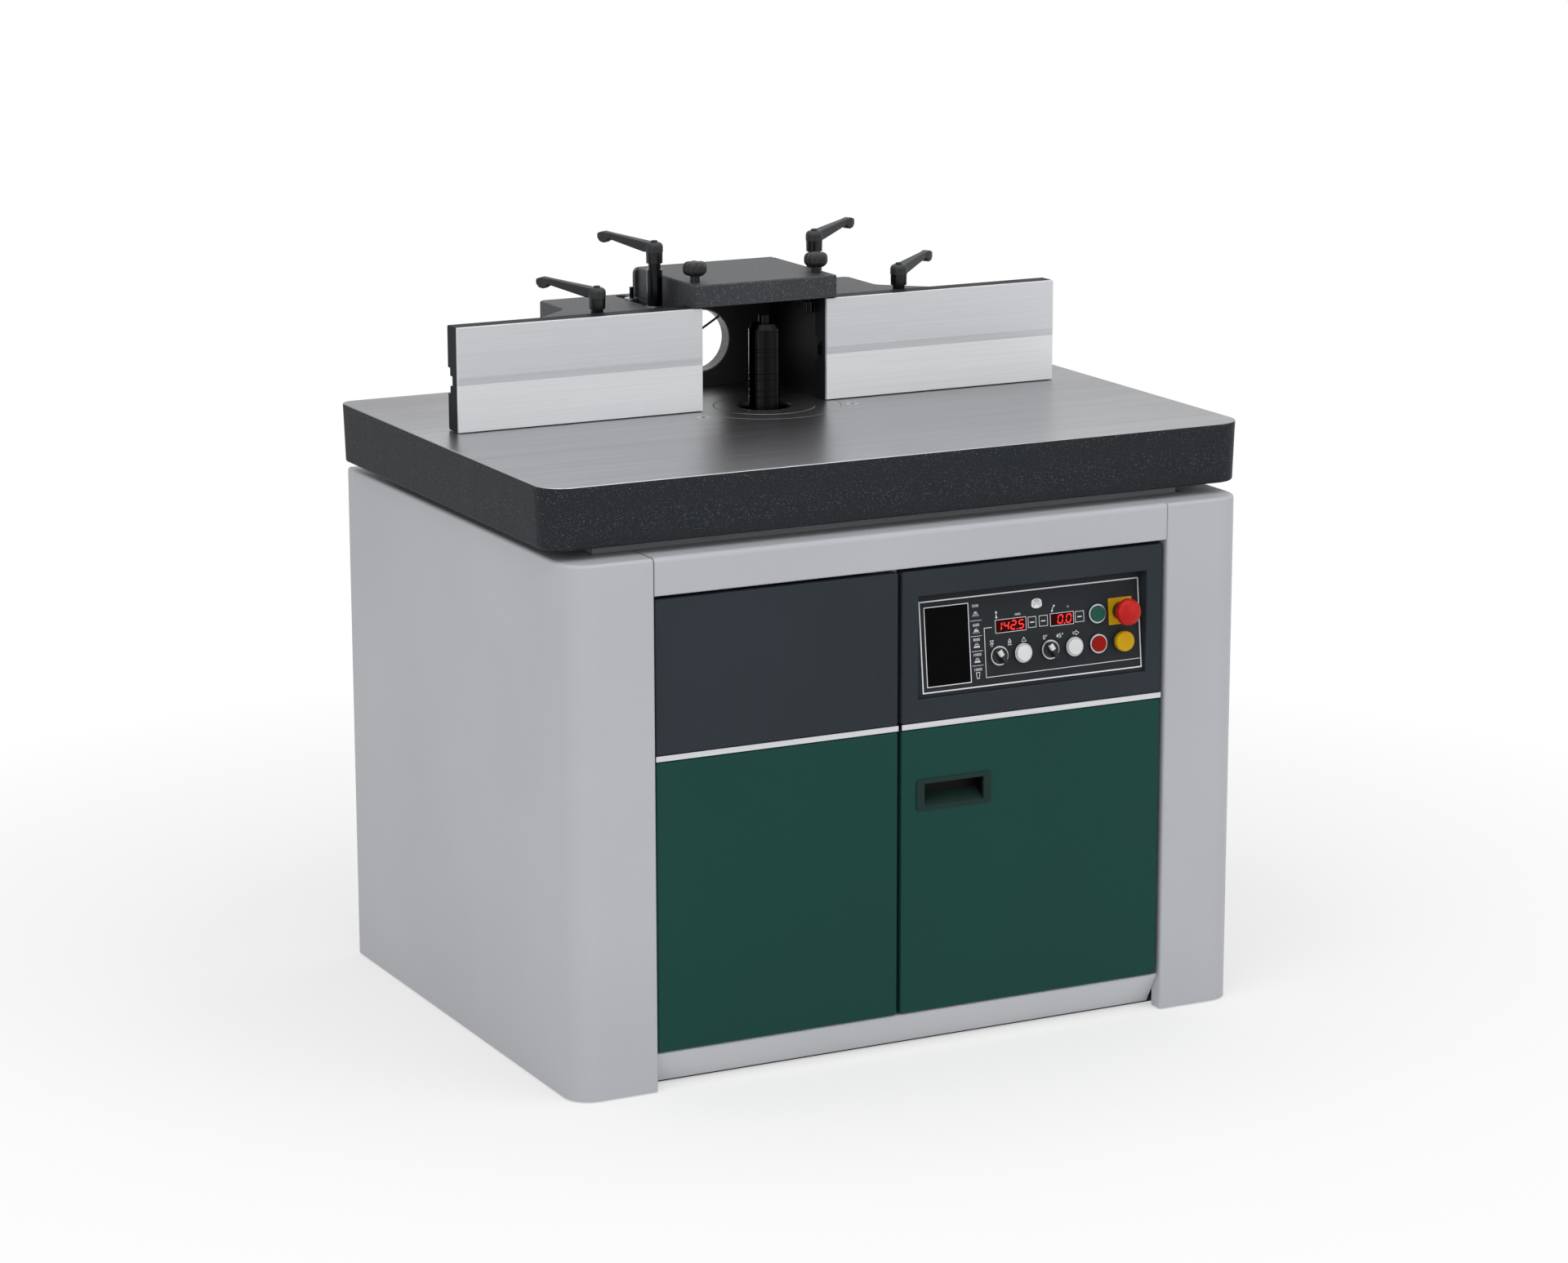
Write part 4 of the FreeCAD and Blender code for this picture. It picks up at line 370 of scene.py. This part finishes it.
def bezel_surface():
    """Bright device rings, black behind the stop and yellow buttons."""
    s = Surface("bezel_metal", 0.3, 1.0)
    lines = s.noise(400.0, 2.0)
    ring = s.mix(lines, srgb(150, 151, 154), srgb(182, 183, 186))
    black = s.mix(lines, srgb(20, 20, 21), srgb(30, 30, 31))
    dark = inside_box(s, STOP_COLLAR_LOW, STOP_COLLAR_HIGH)
    s.link(s.mix(dark, ring, black), "Base Color")
    s.link(s.math("SUBTRACT", 1.0, dark), "Metallic")
    return s.bump(lines, 0.05, 0.0002).material


def stop_surface():
    """Red mushroom with a yellow rim at its back."""
    s = Surface("stop_cap", 0.28).set("Specular IOR Level", 0.2)
    cloud = s.noise(25.0, 2.0)
    red = s.mix(cloud, srgb(182, 19, 17), srgb(190, 21, 19))
    yellow = s.mix(cloud, srgb(196, 150, 8), srgb(204, 158, 12))
    out_y = s.math("MULTIPLY", s.math("SUBTRACT", s.axis("Y"), PLATE_FOOT.y), PLATE_OUT.y)
    lift = s.math("MULTIPLY_ADD", s.math("SUBTRACT", s.axis("Z"), PLATE_FOOT.z), PLATE_OUT.z, out_y)
    s.link(s.mix(s.math("LESS_THAN", lift, STOP_RIM), red, yellow), "Base Color")
    return s.bump(s.noise(500.0, 2.0), 0.05, 0.0003).material


def grip_surface():
    """Dark green grip whose deep recess walls are painted black as shade, above its green rising floor.
    """
    s = Surface("grip_plastic", 0.5).set("Specular IOR Level", 0.1)
    cloud = s.noise(40.0, 2.0)
    green = s.mix(cloud, srgb(28, 46, 42), srgb(34, 55, 50))
    # Painted shade: black on the recess walls deeper than GRIP_DEPTH
    black = s.mix(cloud, srgb(7, 7, 7), srgb(12, 12, 12))
    deep = s.math("GREATER_THAN", s.axis("Y"), GRIP_DEPTH)
    wall = s.math("LESS_THAN", s.normal_axis("Z"), 0.3)
    s.link(s.mix(s.math("MULTIPLY", deep, wall), green, black), "Base Color")
    return s.bump(s.noise(700.0, 2.0), 0.2, 0.0003).material


def window_surface():
    """Glossy black speed window and dark red display lenses."""
    s = Surface("dark_window", 0.2).set("Specular IOR Level", 0.02)
    cloud = s.noise(40.0, 2.0)
    black = s.mix(cloud, srgb(5, 5, 6), srgb(9, 9, 10))
    red = s.mix(cloud, srgb(44, 9, 8), srgb(58, 12, 11))
    s.link(s.mix(s.math("GREATER_THAN", s.axis("X"), LENS_LEFT), black, red), "Base Color")
    return s.bump(cloud, 0.02, 0.0002).material


def spigot_surface():
    """Grey metal spigot with a black guard rod across it."""
    s = Surface("spigot_metal", 0.36, 1.0)
    lines = s.noise(1.0, 3.0, (300.0, 60.0, 300.0))
    metal = s.mix(s.ramp(lines, 0.3, 0.7), srgb(78, 79, 81), srgb(96, 97, 99))
    black = s.mix(lines, srgb(20, 20, 21), srgb(30, 30, 31))
    x = s.math("SUBTRACT", s.axis("X"), SPIGOT_CENTRE[0])
    z = s.math("SUBTRACT", s.axis("Z"), SPIGOT_CENTRE[1])
    reach = s.math("SQRT", s.math("MULTIPLY_ADD", x, x, s.math("MULTIPLY", z, z)))
    rod = s.math("LESS_THAN", reach, SPIGOT_BORE)
    s.link(s.mix(rod, metal, black), "Base Color")
    s.link(s.math("SUBTRACT", 1.0, rod), "Metallic")
    return s.bump(lines, 0.06, 0.0002).material


def glow(name, colour, strength):
    """Lit display segments with a slight unevenness."""
    s = Surface(name, 0.4)
    tone = s.mix(s.noise(300.0, 1.0), shade(colour, 0.8), colour)
    s.link(tone, "Base Color")
    s.link(tone, "Emission Color")
    s.set("Emission Strength", strength)
    return s.material


MATERIALS = {
    "side": powder_coat("side_paint", srgb(184, 186, 191), 0.42),
    # Plinth paint is a lighter copy of the side paint, as painted light on its slanted face
    "plinth": powder_coat("plinth_paint_lit_copy", srgb(202, 204, 208), 0.42),
    "green": powder_coat("green_paint", srgb(22, 66, 60), 0.45, 0.12),
    "dark": speckle_coat("dark_paint", srgb(44, 50, 56), srgb(54, 60, 66), 0.5, 900.0),
    "plate": speckle_coat("plate_print", srgb(44, 47, 51), srgb(50, 53, 57), 0.45, 1200.0, 0.06),
    "frame": powder_coat("frame_paint", srgb(40, 42, 45), 0.5),
    "beam": powder_coat("beam_paint", srgb(150, 152, 156), 0.5),
    "table": table_surface(),
    "rings": ring_surface(),
    "casting": casting_surface(),
    "facing": facing_surface(),
    "backing": powder_coat("fence_backing", srgb(26, 29, 32), 0.5, 0.06),
    "trim": brushed_metal("trim_strip", srgb(204, 205, 207), 0.38, (4.0, 600.0, 600.0)),
    "plastic": moulded_plastic("black_plastic", srgb(26, 27, 29), 0.42),
    "outer_lever": lever_surface("outer_lever", OUTER_COLLAR_TOP),
    "inner_lever": lever_surface("inner_lever", INNER_COLLAR_TOP),
    "grip": grip_surface(),
    "oxide": brushed_metal("black_oxide", srgb(36, 37, 39), 0.2, (300.0, 300.0, 1500.0), 0.04),
    "spindle": turned_black(),
    "steel": brushed_metal("bright_steel", srgb(176, 177, 180), 0.3, (300.0, 300.0, 900.0)),
    "turned": brushed_metal("pulley_metal", srgb(170, 171, 173), 0.35, (60.0, 60.0, 900.0)),
    "iron": speckle_coat("cast_grey", srgb(88, 91, 95), srgb(120, 123, 127), 0.55, 350.0),
    "motor": powder_coat("motor_paint", srgb(70, 78, 88), 0.45),
    "rubber": moulded_plastic("belt_rubber", srgb(26, 26, 27), 0.7, 300.0, 0.5),
    "window": window_surface(),
    "bezel": bezel_surface(),
    "spigot": spigot_surface(),
    "legend": moulded_plastic("legend_yellow", srgb(200, 155, 10), 0.45, gloss=0.12),
    "green_cap": moulded_plastic("green_cap", srgb(24, 80, 69), 0.3, 500.0, 0.05, 0.15),
    "red_cap": moulded_plastic("red_cap", srgb(150, 26, 20), 0.3, 500.0, 0.05, 0.05),
    "stop_cap": stop_surface(),
    "yellow_cap": moulded_plastic("yellow_cap", srgb(204, 158, 6), 0.32, 500.0, 0.05, 0.15),
    "white_cap": moulded_plastic("white_cap", srgb(220, 220, 221), 0.35, 500.0, 0.05),
    "ink": moulded_plastic("white_ink", srgb(232, 233, 235), 0.55, 900.0, 0.05),
    "digits": glow("display_red", srgb(235, 30, 28), 0.8),
}

NODE_MATERIALS = {
    "side": ["left_side_panel", "right_side_panel", "front_rail", "back_panel", "electrics"],
    "plinth": ["plinth"],
    "green": ["lower_left_panel", "service_door"],
    "dark": ["upper_left_panel", "control_housing"],
    "plate": ["control_plate"],
    "frame": ["base_plate", "trunnion_brackets", "tilt_frame"],
    "beam": ["chassis_frame"],
    "table": ["table"],
    "rings": ["table_rings"],
    "casting": ["fence_housing", "hood_lid"],
    "facing": ["left_fence_face", "right_fence_face"],
    "backing": ["left_fence_backing", "right_fence_backing"],
    "trim": ["trim_strips"],
    "plastic": ["left_hood_knob", "right_hood_knob", "rise_selector", "tilt_selector"],
    "outer_lever": ["left_outer_lever", "right_outer_lever"],
    "inner_lever": ["left_inner_lever", "right_inner_lever"],
    "grip": ["door_pull"],
    "spigot": ["dust_spigot"],
    "oxide": ["clamp_posts", "fence_fittings"],
    "spindle": ["spacer_rings", "spindle_cap"],
    "steel": ["fasteners", "lift_guides", "spindle_shaft", "spindle_bearings", "door_fittings",
              "tilt_pinion"],
    "turned": ["spindle_pulley", "motor_pulley"],
    "iron": ["spindle_carriage", "lift_gearbox"],
    "motor": ["main_motor", "tilt_motor"],
    "rubber": ["drive_belt"],
    "window": ["panel_windows"],
    "bezel": ["control_bezels"],
    "legend": ["stop_legend"],
    "green_cap": ["green_button"],
    "red_cap": ["red_button"],
    "stop_cap": ["stop_button"],
    "yellow_cap": ["yellow_button"],
    "white_cap": ["rise_button", "tilt_button"],
}


def dress_nodes():
    """Give every CAD node its material."""
    for key, names in NODE_MATERIALS.items():
        for name in names:
            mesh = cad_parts[name].data
            mesh.materials.clear()
            mesh.materials.append(MATERIALS[key])


def plate_point(u, v, lift=PRINT_LIFT):
    """Point on the slanted plate from millimetres along and up it."""
    return PLATE_FOOT + Vector((u / 1000.0, 0.0, 0.0)) + PLATE_UP * (v / 1000.0) + PLATE_OUT * lift


def rectangle(box):
    """Corners of a rectangle given as left, right, low and high."""
    left, right, low, high = box
    return [(left, low), (right, low), (right, high), (left, high)]


def grown(box, by):
    """A rectangle drawn outwards on every side."""
    return (box[0] - by, box[1] + by, box[2] - by, box[3] + by)


def ribbon(points, width, closed=False):
    """Quads of a mitred line through plane points."""
    count = len(points)
    sides = []
    for i, point in enumerate(points):
        here = Vector(point)
        before = Vector(points[i - 1]) if closed or i else None
        after = Vector(points[(i + 1) % count]) if closed or i < count - 1 else None
        a = (here - before).normalized() if before is not None else (after - here).normalized()
        b = (after - here).normalized() if after is not None else a
        normal = Vector((-(a + b).y, (a + b).x)).normalized()
        stretch = width / 2 / max(0.3, normal.dot(Vector((-a.y, a.x))))
        sides.append((here + normal * stretch, here - normal * stretch))
    quads = []
    for i in range(count if closed else count - 1):
        (a, b), (c, d) = sides[i], sides[(i + 1) % count]
        quads.append([a, b, d, c])
    return quads


def oval(u, v, wide, high, start=0.0, end=360.0, steps=28):
    """Points round an ellipse."""
    turns = [math.radians(start + (end - start) * i / steps) for i in range(steps + 1)]
    return [(u + wide * math.cos(t), v + high * math.sin(t)) for t in turns]


def lettering(text, u, v, size):
    """Polygons of a short number centred on a place of the plate."""
    curve = bpy.data.curves.new("lettering", "FONT")
    curve.body = text
    curve.size = size
    curve.align_x = "CENTER"
    curve.align_y = "CENTER"
    holder = bpy.data.objects.new("lettering", curve)
    bpy.context.scene.collection.objects.link(holder)
    mesh = bpy.data.meshes.new_from_object(holder)
    bpy.data.objects.remove(holder)
    shapes = []
    for polygon in mesh.polygons:
        shapes.append([(u + mesh.vertices[i].co.x, v + mesh.vertices[i].co.y) for i in polygon.vertices])
    return shapes


def printed(name, shapes, material, body="machine", lift=PRINT_LIFT):
    """One thin printed piece on the plate."""
    bm = bmesh.new()
    for shape in shapes:
        corners = [bm.verts.new(plate_point(p[0], p[1], lift)) for p in shape]
        bm.faces.new(corners)
    for face in bm.faces:
        face.normal_update()
        if face.normal.dot(PLATE_OUT) < 0:
            face.normal_flip()
    mesh = bpy.data.meshes.new(name)
    bm.to_mesh(mesh)
    bm.free()
    mesh.materials.append(material)
    piece = bpy.data.objects.new(name, mesh)
    bpy.context.scene.collection.objects.link(piece)
    film = piece.modifiers.new("film", "SOLIDIFY")
    film.thickness = 0.8 * PRINT_LIFT
    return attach(piece, body)


def triangle(u, v, size, way):
    """Hollow triangle that points up or down."""
    tip = (u, v + way * 0.55 * size)
    return ribbon([tip, (u - 0.6 * size, v - way * 0.45 * size), (u + 0.6 * size, v - way * 0.45 * size)],
                  INK_THIN, True)


def pulley_icon(v, active):
    """Stepped pulley in three bars, the one in use filled."""
    shapes = []
    for i, half in enumerate((2.6, 4.0, 5.4)):
        low = v + 1.6 - 2.4 * i
        bar = [(SPEED_COLUMN - half, low), (SPEED_COLUMN + half, low),
               (SPEED_COLUMN + half - 1.0, low + 1.7), (SPEED_COLUMN - half + 1.0, low + 1.7)]
        if i == active:
            shapes.append(bar)
        else:
            shapes += ribbon(bar, 0.35, True)
    return shapes


def speed_scale():
    """Numbers, dividers and pulley signs beside the window."""
    shapes = []
    for i, (text, v, icon) in enumerate(SPEEDS):
        shapes += lettering(text, SPEED_COLUMN, v, 5.6)
        if text != "15000":
            shapes += pulley_icon(icon, min(i, 2))
        else:
            cone = [(SPEED_COLUMN - 3.0, icon + 4.0), (SPEED_COLUMN + 3.0, icon + 4.0),
                    (SPEED_COLUMN + 1.8, icon - 5.0), (SPEED_COLUMN - 1.8, icon - 5.0)]
            shapes += ribbon(cone, 0.8, True)
    for v in SPEED_LINES:
        shapes += ribbon([(SPEED_COLUMN - 9.0, v), (SPEED_COLUMN + 9.5, v)], 0.6)
    return shapes


def panel_frames():
    """Border, window frame, bracket line, display frames and keys."""
    shapes = ribbon(rectangle(grown(BORDER, -INK_LINE / 2)), INK_LINE, True)
    shapes += ribbon(rectangle(grown(WINDOW, 0.9)), 1.2, True)
    shapes += ribbon([(139.0, 86.0), (126.0, 86.0), (126.0, 13.0), (388.6, 13.9)], 0.9)
    for display in (HEIGHT_DISPLAY, TILT_DISPLAY):
        shapes += ribbon(rectangle(grown(display, 0.6)), INK_THIN, True)
    for left, right in KEYS:
        shapes += ribbon(rectangle((left, right, *KEY_ROWS)), INK_THIN, True)
        middle = (left + right) / 2
        shapes += ribbon([(middle - 3.6, 86.6), (middle + 3.6, 86.6)], 1.5)
    return shapes


def panel_signs():
    """Direction signs, angles, unit sign and the small motion signs."""
    shapes = []
    for v in (59.8, 64.2):
        shapes += triangle(137.6, v, 4.6, -1)
        shapes += triangle(167.6, v - 0.6, 4.6, 1)
    shapes += triangle(191.6, 62.6, 6.2, 1)
    shapes += lettering("0\u00b0", 227.8, 61.6, 9.0)
    shapes += lettering("45\u00b0", 252.8, 61.6, 9.0)
    arrow = [(275.4, 61.8), (280.4, 61.8), (280.4, 59.8), (285.2, 63.2), (280.4, 66.6), (280.4, 64.6),
             (275.4, 64.6)]
    shapes += ribbon(arrow, INK_THIN, True)
    shapes += lettering("mm", 183.0, 101.4, 6.4)
    shapes += lettering("\u00b0", 268.5, 101.0, 9.0)
    shapes += ribbon([(147.0, 99.6), (147.0, 107.4)], 1.0)
    for way, v in ((1, 107.6), (-1, 99.4)):
        shapes.append([(147.0, v + way * 1.8), (144.8, v - way * 1.2), (149.2, v - way * 1.2)])
    shapes += ribbon(oval(247.2, 99.4, 6.0, 7.6, 110.0, 178.0, 10), 1.0)
    shapes.append([(246.8, 107.4), (243.4, 109.0), (244.2, 105.0)])
    shapes.append([(241.2, 97.6), (239.2, 100.6), (243.4, 100.6)])
    return shapes


def cutter_sign():
    """Round cutter drawn in ink, with darker outlines on it."""
    u, v = 215.8, 114.4
    body = oval(u, v + 2.2, 8.8, 4.6, 0.0, 180.0) + oval(u, v - 3.4, 8.8, 4.6, 180.0, 360.0)
    rim = ribbon(oval(u, v + 2.2, 8.6, 4.4)[:-1], 0.35, True)
    hub = ribbon(oval(u, v + 2.4, 4.4, 2.2)[:-1], 0.45, True)
    bore = ribbon(oval(u, v + 2.6, 2.2, 1.1)[:-1], 0.4, True)
    cuts = []
    for side in (-5.0, 5.0):
        cuts += ribbon([(u + side, v - 1.6), (u + side, v - 6.4)], 0.4)
    return [body], rim + hub + bore + cuts


def digit(text, u, v, wide, high, thick):
    """Lit segments of one slanted seven-segment figure."""
    def lean(x, y):
        return (u + x + 0.14 * y, v + y)
    half, gap = thick / 2, 0.25
    middle = high / 2
    ends = {"a": ((0, high), (wide, high)), "b": ((wide, high), (wide, middle)),
            "c": ((wide, middle), (wide, 0)), "d": ((0, 0), (wide, 0)), "e": ((0, 0), (0, middle)),
            "f": ((0, middle), (0, high)), "g": ((0, middle), (wide, middle))}
    shapes = []
    for name in SEGMENTS[text]:
        a, b = (Vector(p) for p in ends[name])
        along = (b - a).normalized()
        across = Vector((-along.y, along.x)) * half
        a, b = a + along * gap, b - along * gap
        points = [a, a + along * half + across, b - along * half + across, b, b - along * half - across,
                  a + along * half - across]
        shapes.append([lean(p.x, p.y) for p in points])
    return shapes


def readings():
    """Figures of the two displays with their decimal points."""
    shapes = []
    for text, u in (("1", 146.6), ("4", 158.6), ("2", 170.6), ("5", 183.8)):
        shapes += digit(text, u, 80.0, 7.6, 12.0, 2.1)
    for u in (250.2, 264.4):
        shapes += digit("0", u, 80.4, 7.6, 11.8, 2.1)
    for u, v in ((181.4, 79.4), (261.8, 79.8)):
        shapes.append(oval(u, v, 1.15, 1.15, steps=12)[:-1])
    return shapes


def make_print():
    """All marks on the control plate."""
    printed("panel_frames", panel_frames(), MATERIALS["ink"])
    printed("panel_signs", panel_signs() + speed_scale(), MATERIALS["ink"])
    body, lines = cutter_sign()
    printed("cutter_sign", body, MATERIALS["ink"])
    printed("cutter_lines", lines, MATERIALS["plate"], lift=2 * PRINT_LIFT)
    printed("display_figures", readings(), MATERIALS["digits"], lift=2 * PRINT_LIFT)


def make_pointers():
    """White inlay on the upper half of each selector grip."""
    along = Vector((-math.sin(POINTER_LEAN), math.cos(POINTER_LEAN)))
    across = Vector((along.y, -along.x))
    for name, (u, v) in SELECTORS.items():
        centre = Vector((u, v))
        bm = bmesh.new()
        rows = []
        near, far = (centre + along * reach for reach in POINTER_SPAN)
        side = across * POINTER_HALF
        corners = [near - side, near + side, far + side, far - side]
        for lift in (POINTER_FRONT - POINTER_DEPTH, POINTER_FRONT + POINTER_PROUD):
            rows.append([bm.verts.new(plate_point(p.x, p.y, lift / 1000.0)) for p in corners])
        bm.faces.new(rows[1])
        for i in range(4):
            bm.faces.new([rows[0][i], rows[0][(i + 1) % 4], rows[1][(i + 1) % 4], rows[1][i]])
        bmesh.ops.recalc_face_normals(bm, faces=bm.faces)
        mesh = bpy.data.meshes.new(name + "_pointer")
        bm.to_mesh(mesh)
        bm.free()
        mesh.materials.append(MATERIALS["white_cap"])
        piece = bpy.data.objects.new(name + "_pointer", mesh)
        bpy.context.scene.collection.objects.link(piece)
        edge = piece.modifiers.new("edge", "BEVEL")
        edge.width = POINTER_EDGE / 1000.0
        edge.segments = 2
        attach(piece, name)


def make_camera():
    """Camera at the photograph's place and angle."""
    data = bpy.data.cameras.new("camera")
    data.lens = CAMERA_LENS
    data.sensor_width = SENSOR
    data.clip_end = 100.0
    camera = bpy.data.objects.new("camera", data)
    turn = Matrix.Rotation(math.radians(-CAMERA_YAW), 4, "Z")
    tip = Matrix.Rotation(math.radians(90.0 + CAMERA_PITCH), 4, "X")
    roll = Matrix.Rotation(math.radians(CAMERA_ROLL), 4, "Z")
    camera.matrix_world = Matrix.Translation(CAMERA_PLACE) @ turn @ tip @ roll
    bpy.context.scene.collection.objects.link(camera)
    bpy.context.scene.camera = camera


def area_light(name, place, aim, wide, tall, power):
    """Make a soft lamp aimed at a point and return it."""
    data = bpy.data.lights.new(name, "AREA")
    data.shape = "RECTANGLE"
    data.size = wide
    data.size_y = tall
    data.energy = power
    lamp = bpy.data.objects.new(name, data)
    lamp.location = place
    lamp.rotation_mode = "QUATERNION"
    lamp.rotation_quaternion = (Vector(aim) - Vector(place)).to_track_quat("-Z", "Y")
    bpy.context.scene.collection.objects.link(lamp)
    return lamp


def shown_rays(nodes, links):
    """Signal that is 1 for rays that see the background directly, in gloss or through glass."""
    path = nodes.new("ShaderNodeLightPath")
    total = path.outputs["Is Camera Ray"]
    for name in ("Is Glossy Ray", "Is Transmission Ray"):
        step = nodes.new("ShaderNodeMath")
        step.operation = "MAXIMUM"
        links.new(total, step.inputs[0])
        links.new(path.outputs[name], step.inputs[1])
        total = step.outputs["Value"]
    return total


def make_world(ambient):
    """White surroundings that light the object at a plain level."""
    world = bpy.data.worlds.new("studio")
    world.use_nodes = True
    nodes, links = world.node_tree.nodes, world.node_tree.links
    background = nodes["Background"]
    background.inputs["Color"].default_value = (1.0, 1.0, 1.0, 1.0)
    level = nodes.new("ShaderNodeMapRange")
    level.inputs["To Min"].default_value = ambient
    level.inputs["To Max"].default_value = 1.0
    links.new(shown_rays(nodes, links), level.inputs["Value"])
    links.new(level.outputs["Result"], background.inputs["Strength"])
    bpy.context.scene.world = world


def make_floor():
    """Plain pale floor that keeps the object's shadow and fades to white further out."""
    bm = bmesh.new()
    bmesh.ops.create_circle(bm, cap_ends=True, radius=FLOOR_RADIUS, segments=96)
    mesh = bpy.data.meshes.new("floor")
    bm.to_mesh(mesh)
    bm.free()
    floor = bpy.data.objects.new("floor", mesh)
    floor.location.z = -FLOOR_GAP
    s = Surface("floor_surface", 0.9).set("Specular IOR Level", 0.0)
    s.link(s.mix(s.noise(2.0, 2.0), (0.93, 0.93, 0.93, 1.0), (0.95, 0.95, 0.95, 1.0)), "Base Color")
    across = s.math("MULTIPLY", s.axis("X"), s.axis("X"))
    reach = s.math("SQRT", s.math("MULTIPLY_ADD", s.axis("Y"), s.axis("Y"), across))
    far = s.between(s.ramp(reach, FLOOR_SHADOW, FLOOR_WHITE), FLOOR_LIFT, 1.0)
    white = s.nodes.new("ShaderNodeEmission")
    blend = s.nodes.new("ShaderNodeMixShader")
    s.links.new(s.math("MULTIPLY", far, shown_rays(s.nodes, s.links)), blend.inputs["Fac"])
    s.links.new(s.shader.outputs["BSDF"], blend.inputs[1])
    s.links.new(white.outputs["Emission"], blend.inputs[2])
    s.links.new(blend.outputs["Shader"], s.nodes["Material Output"].inputs["Surface"])
    mesh.materials.append(s.material)
    bpy.context.scene.collection.objects.link(floor)


def make_light():
    """Soft studio light: overhead, left key, right fill and a strip that only shows in gloss."""
    make_world(AMBIENT)
    for lamp in LAMPS:
        area_light(*lamp)
    area_light(*GLOSS_STRIP).visible_diffuse = False


make_camera()
make_light()
make_floor()
dress_nodes()
make_print()
make_pointers()

bpy.context.scene.view_settings.view_transform = "Standard"
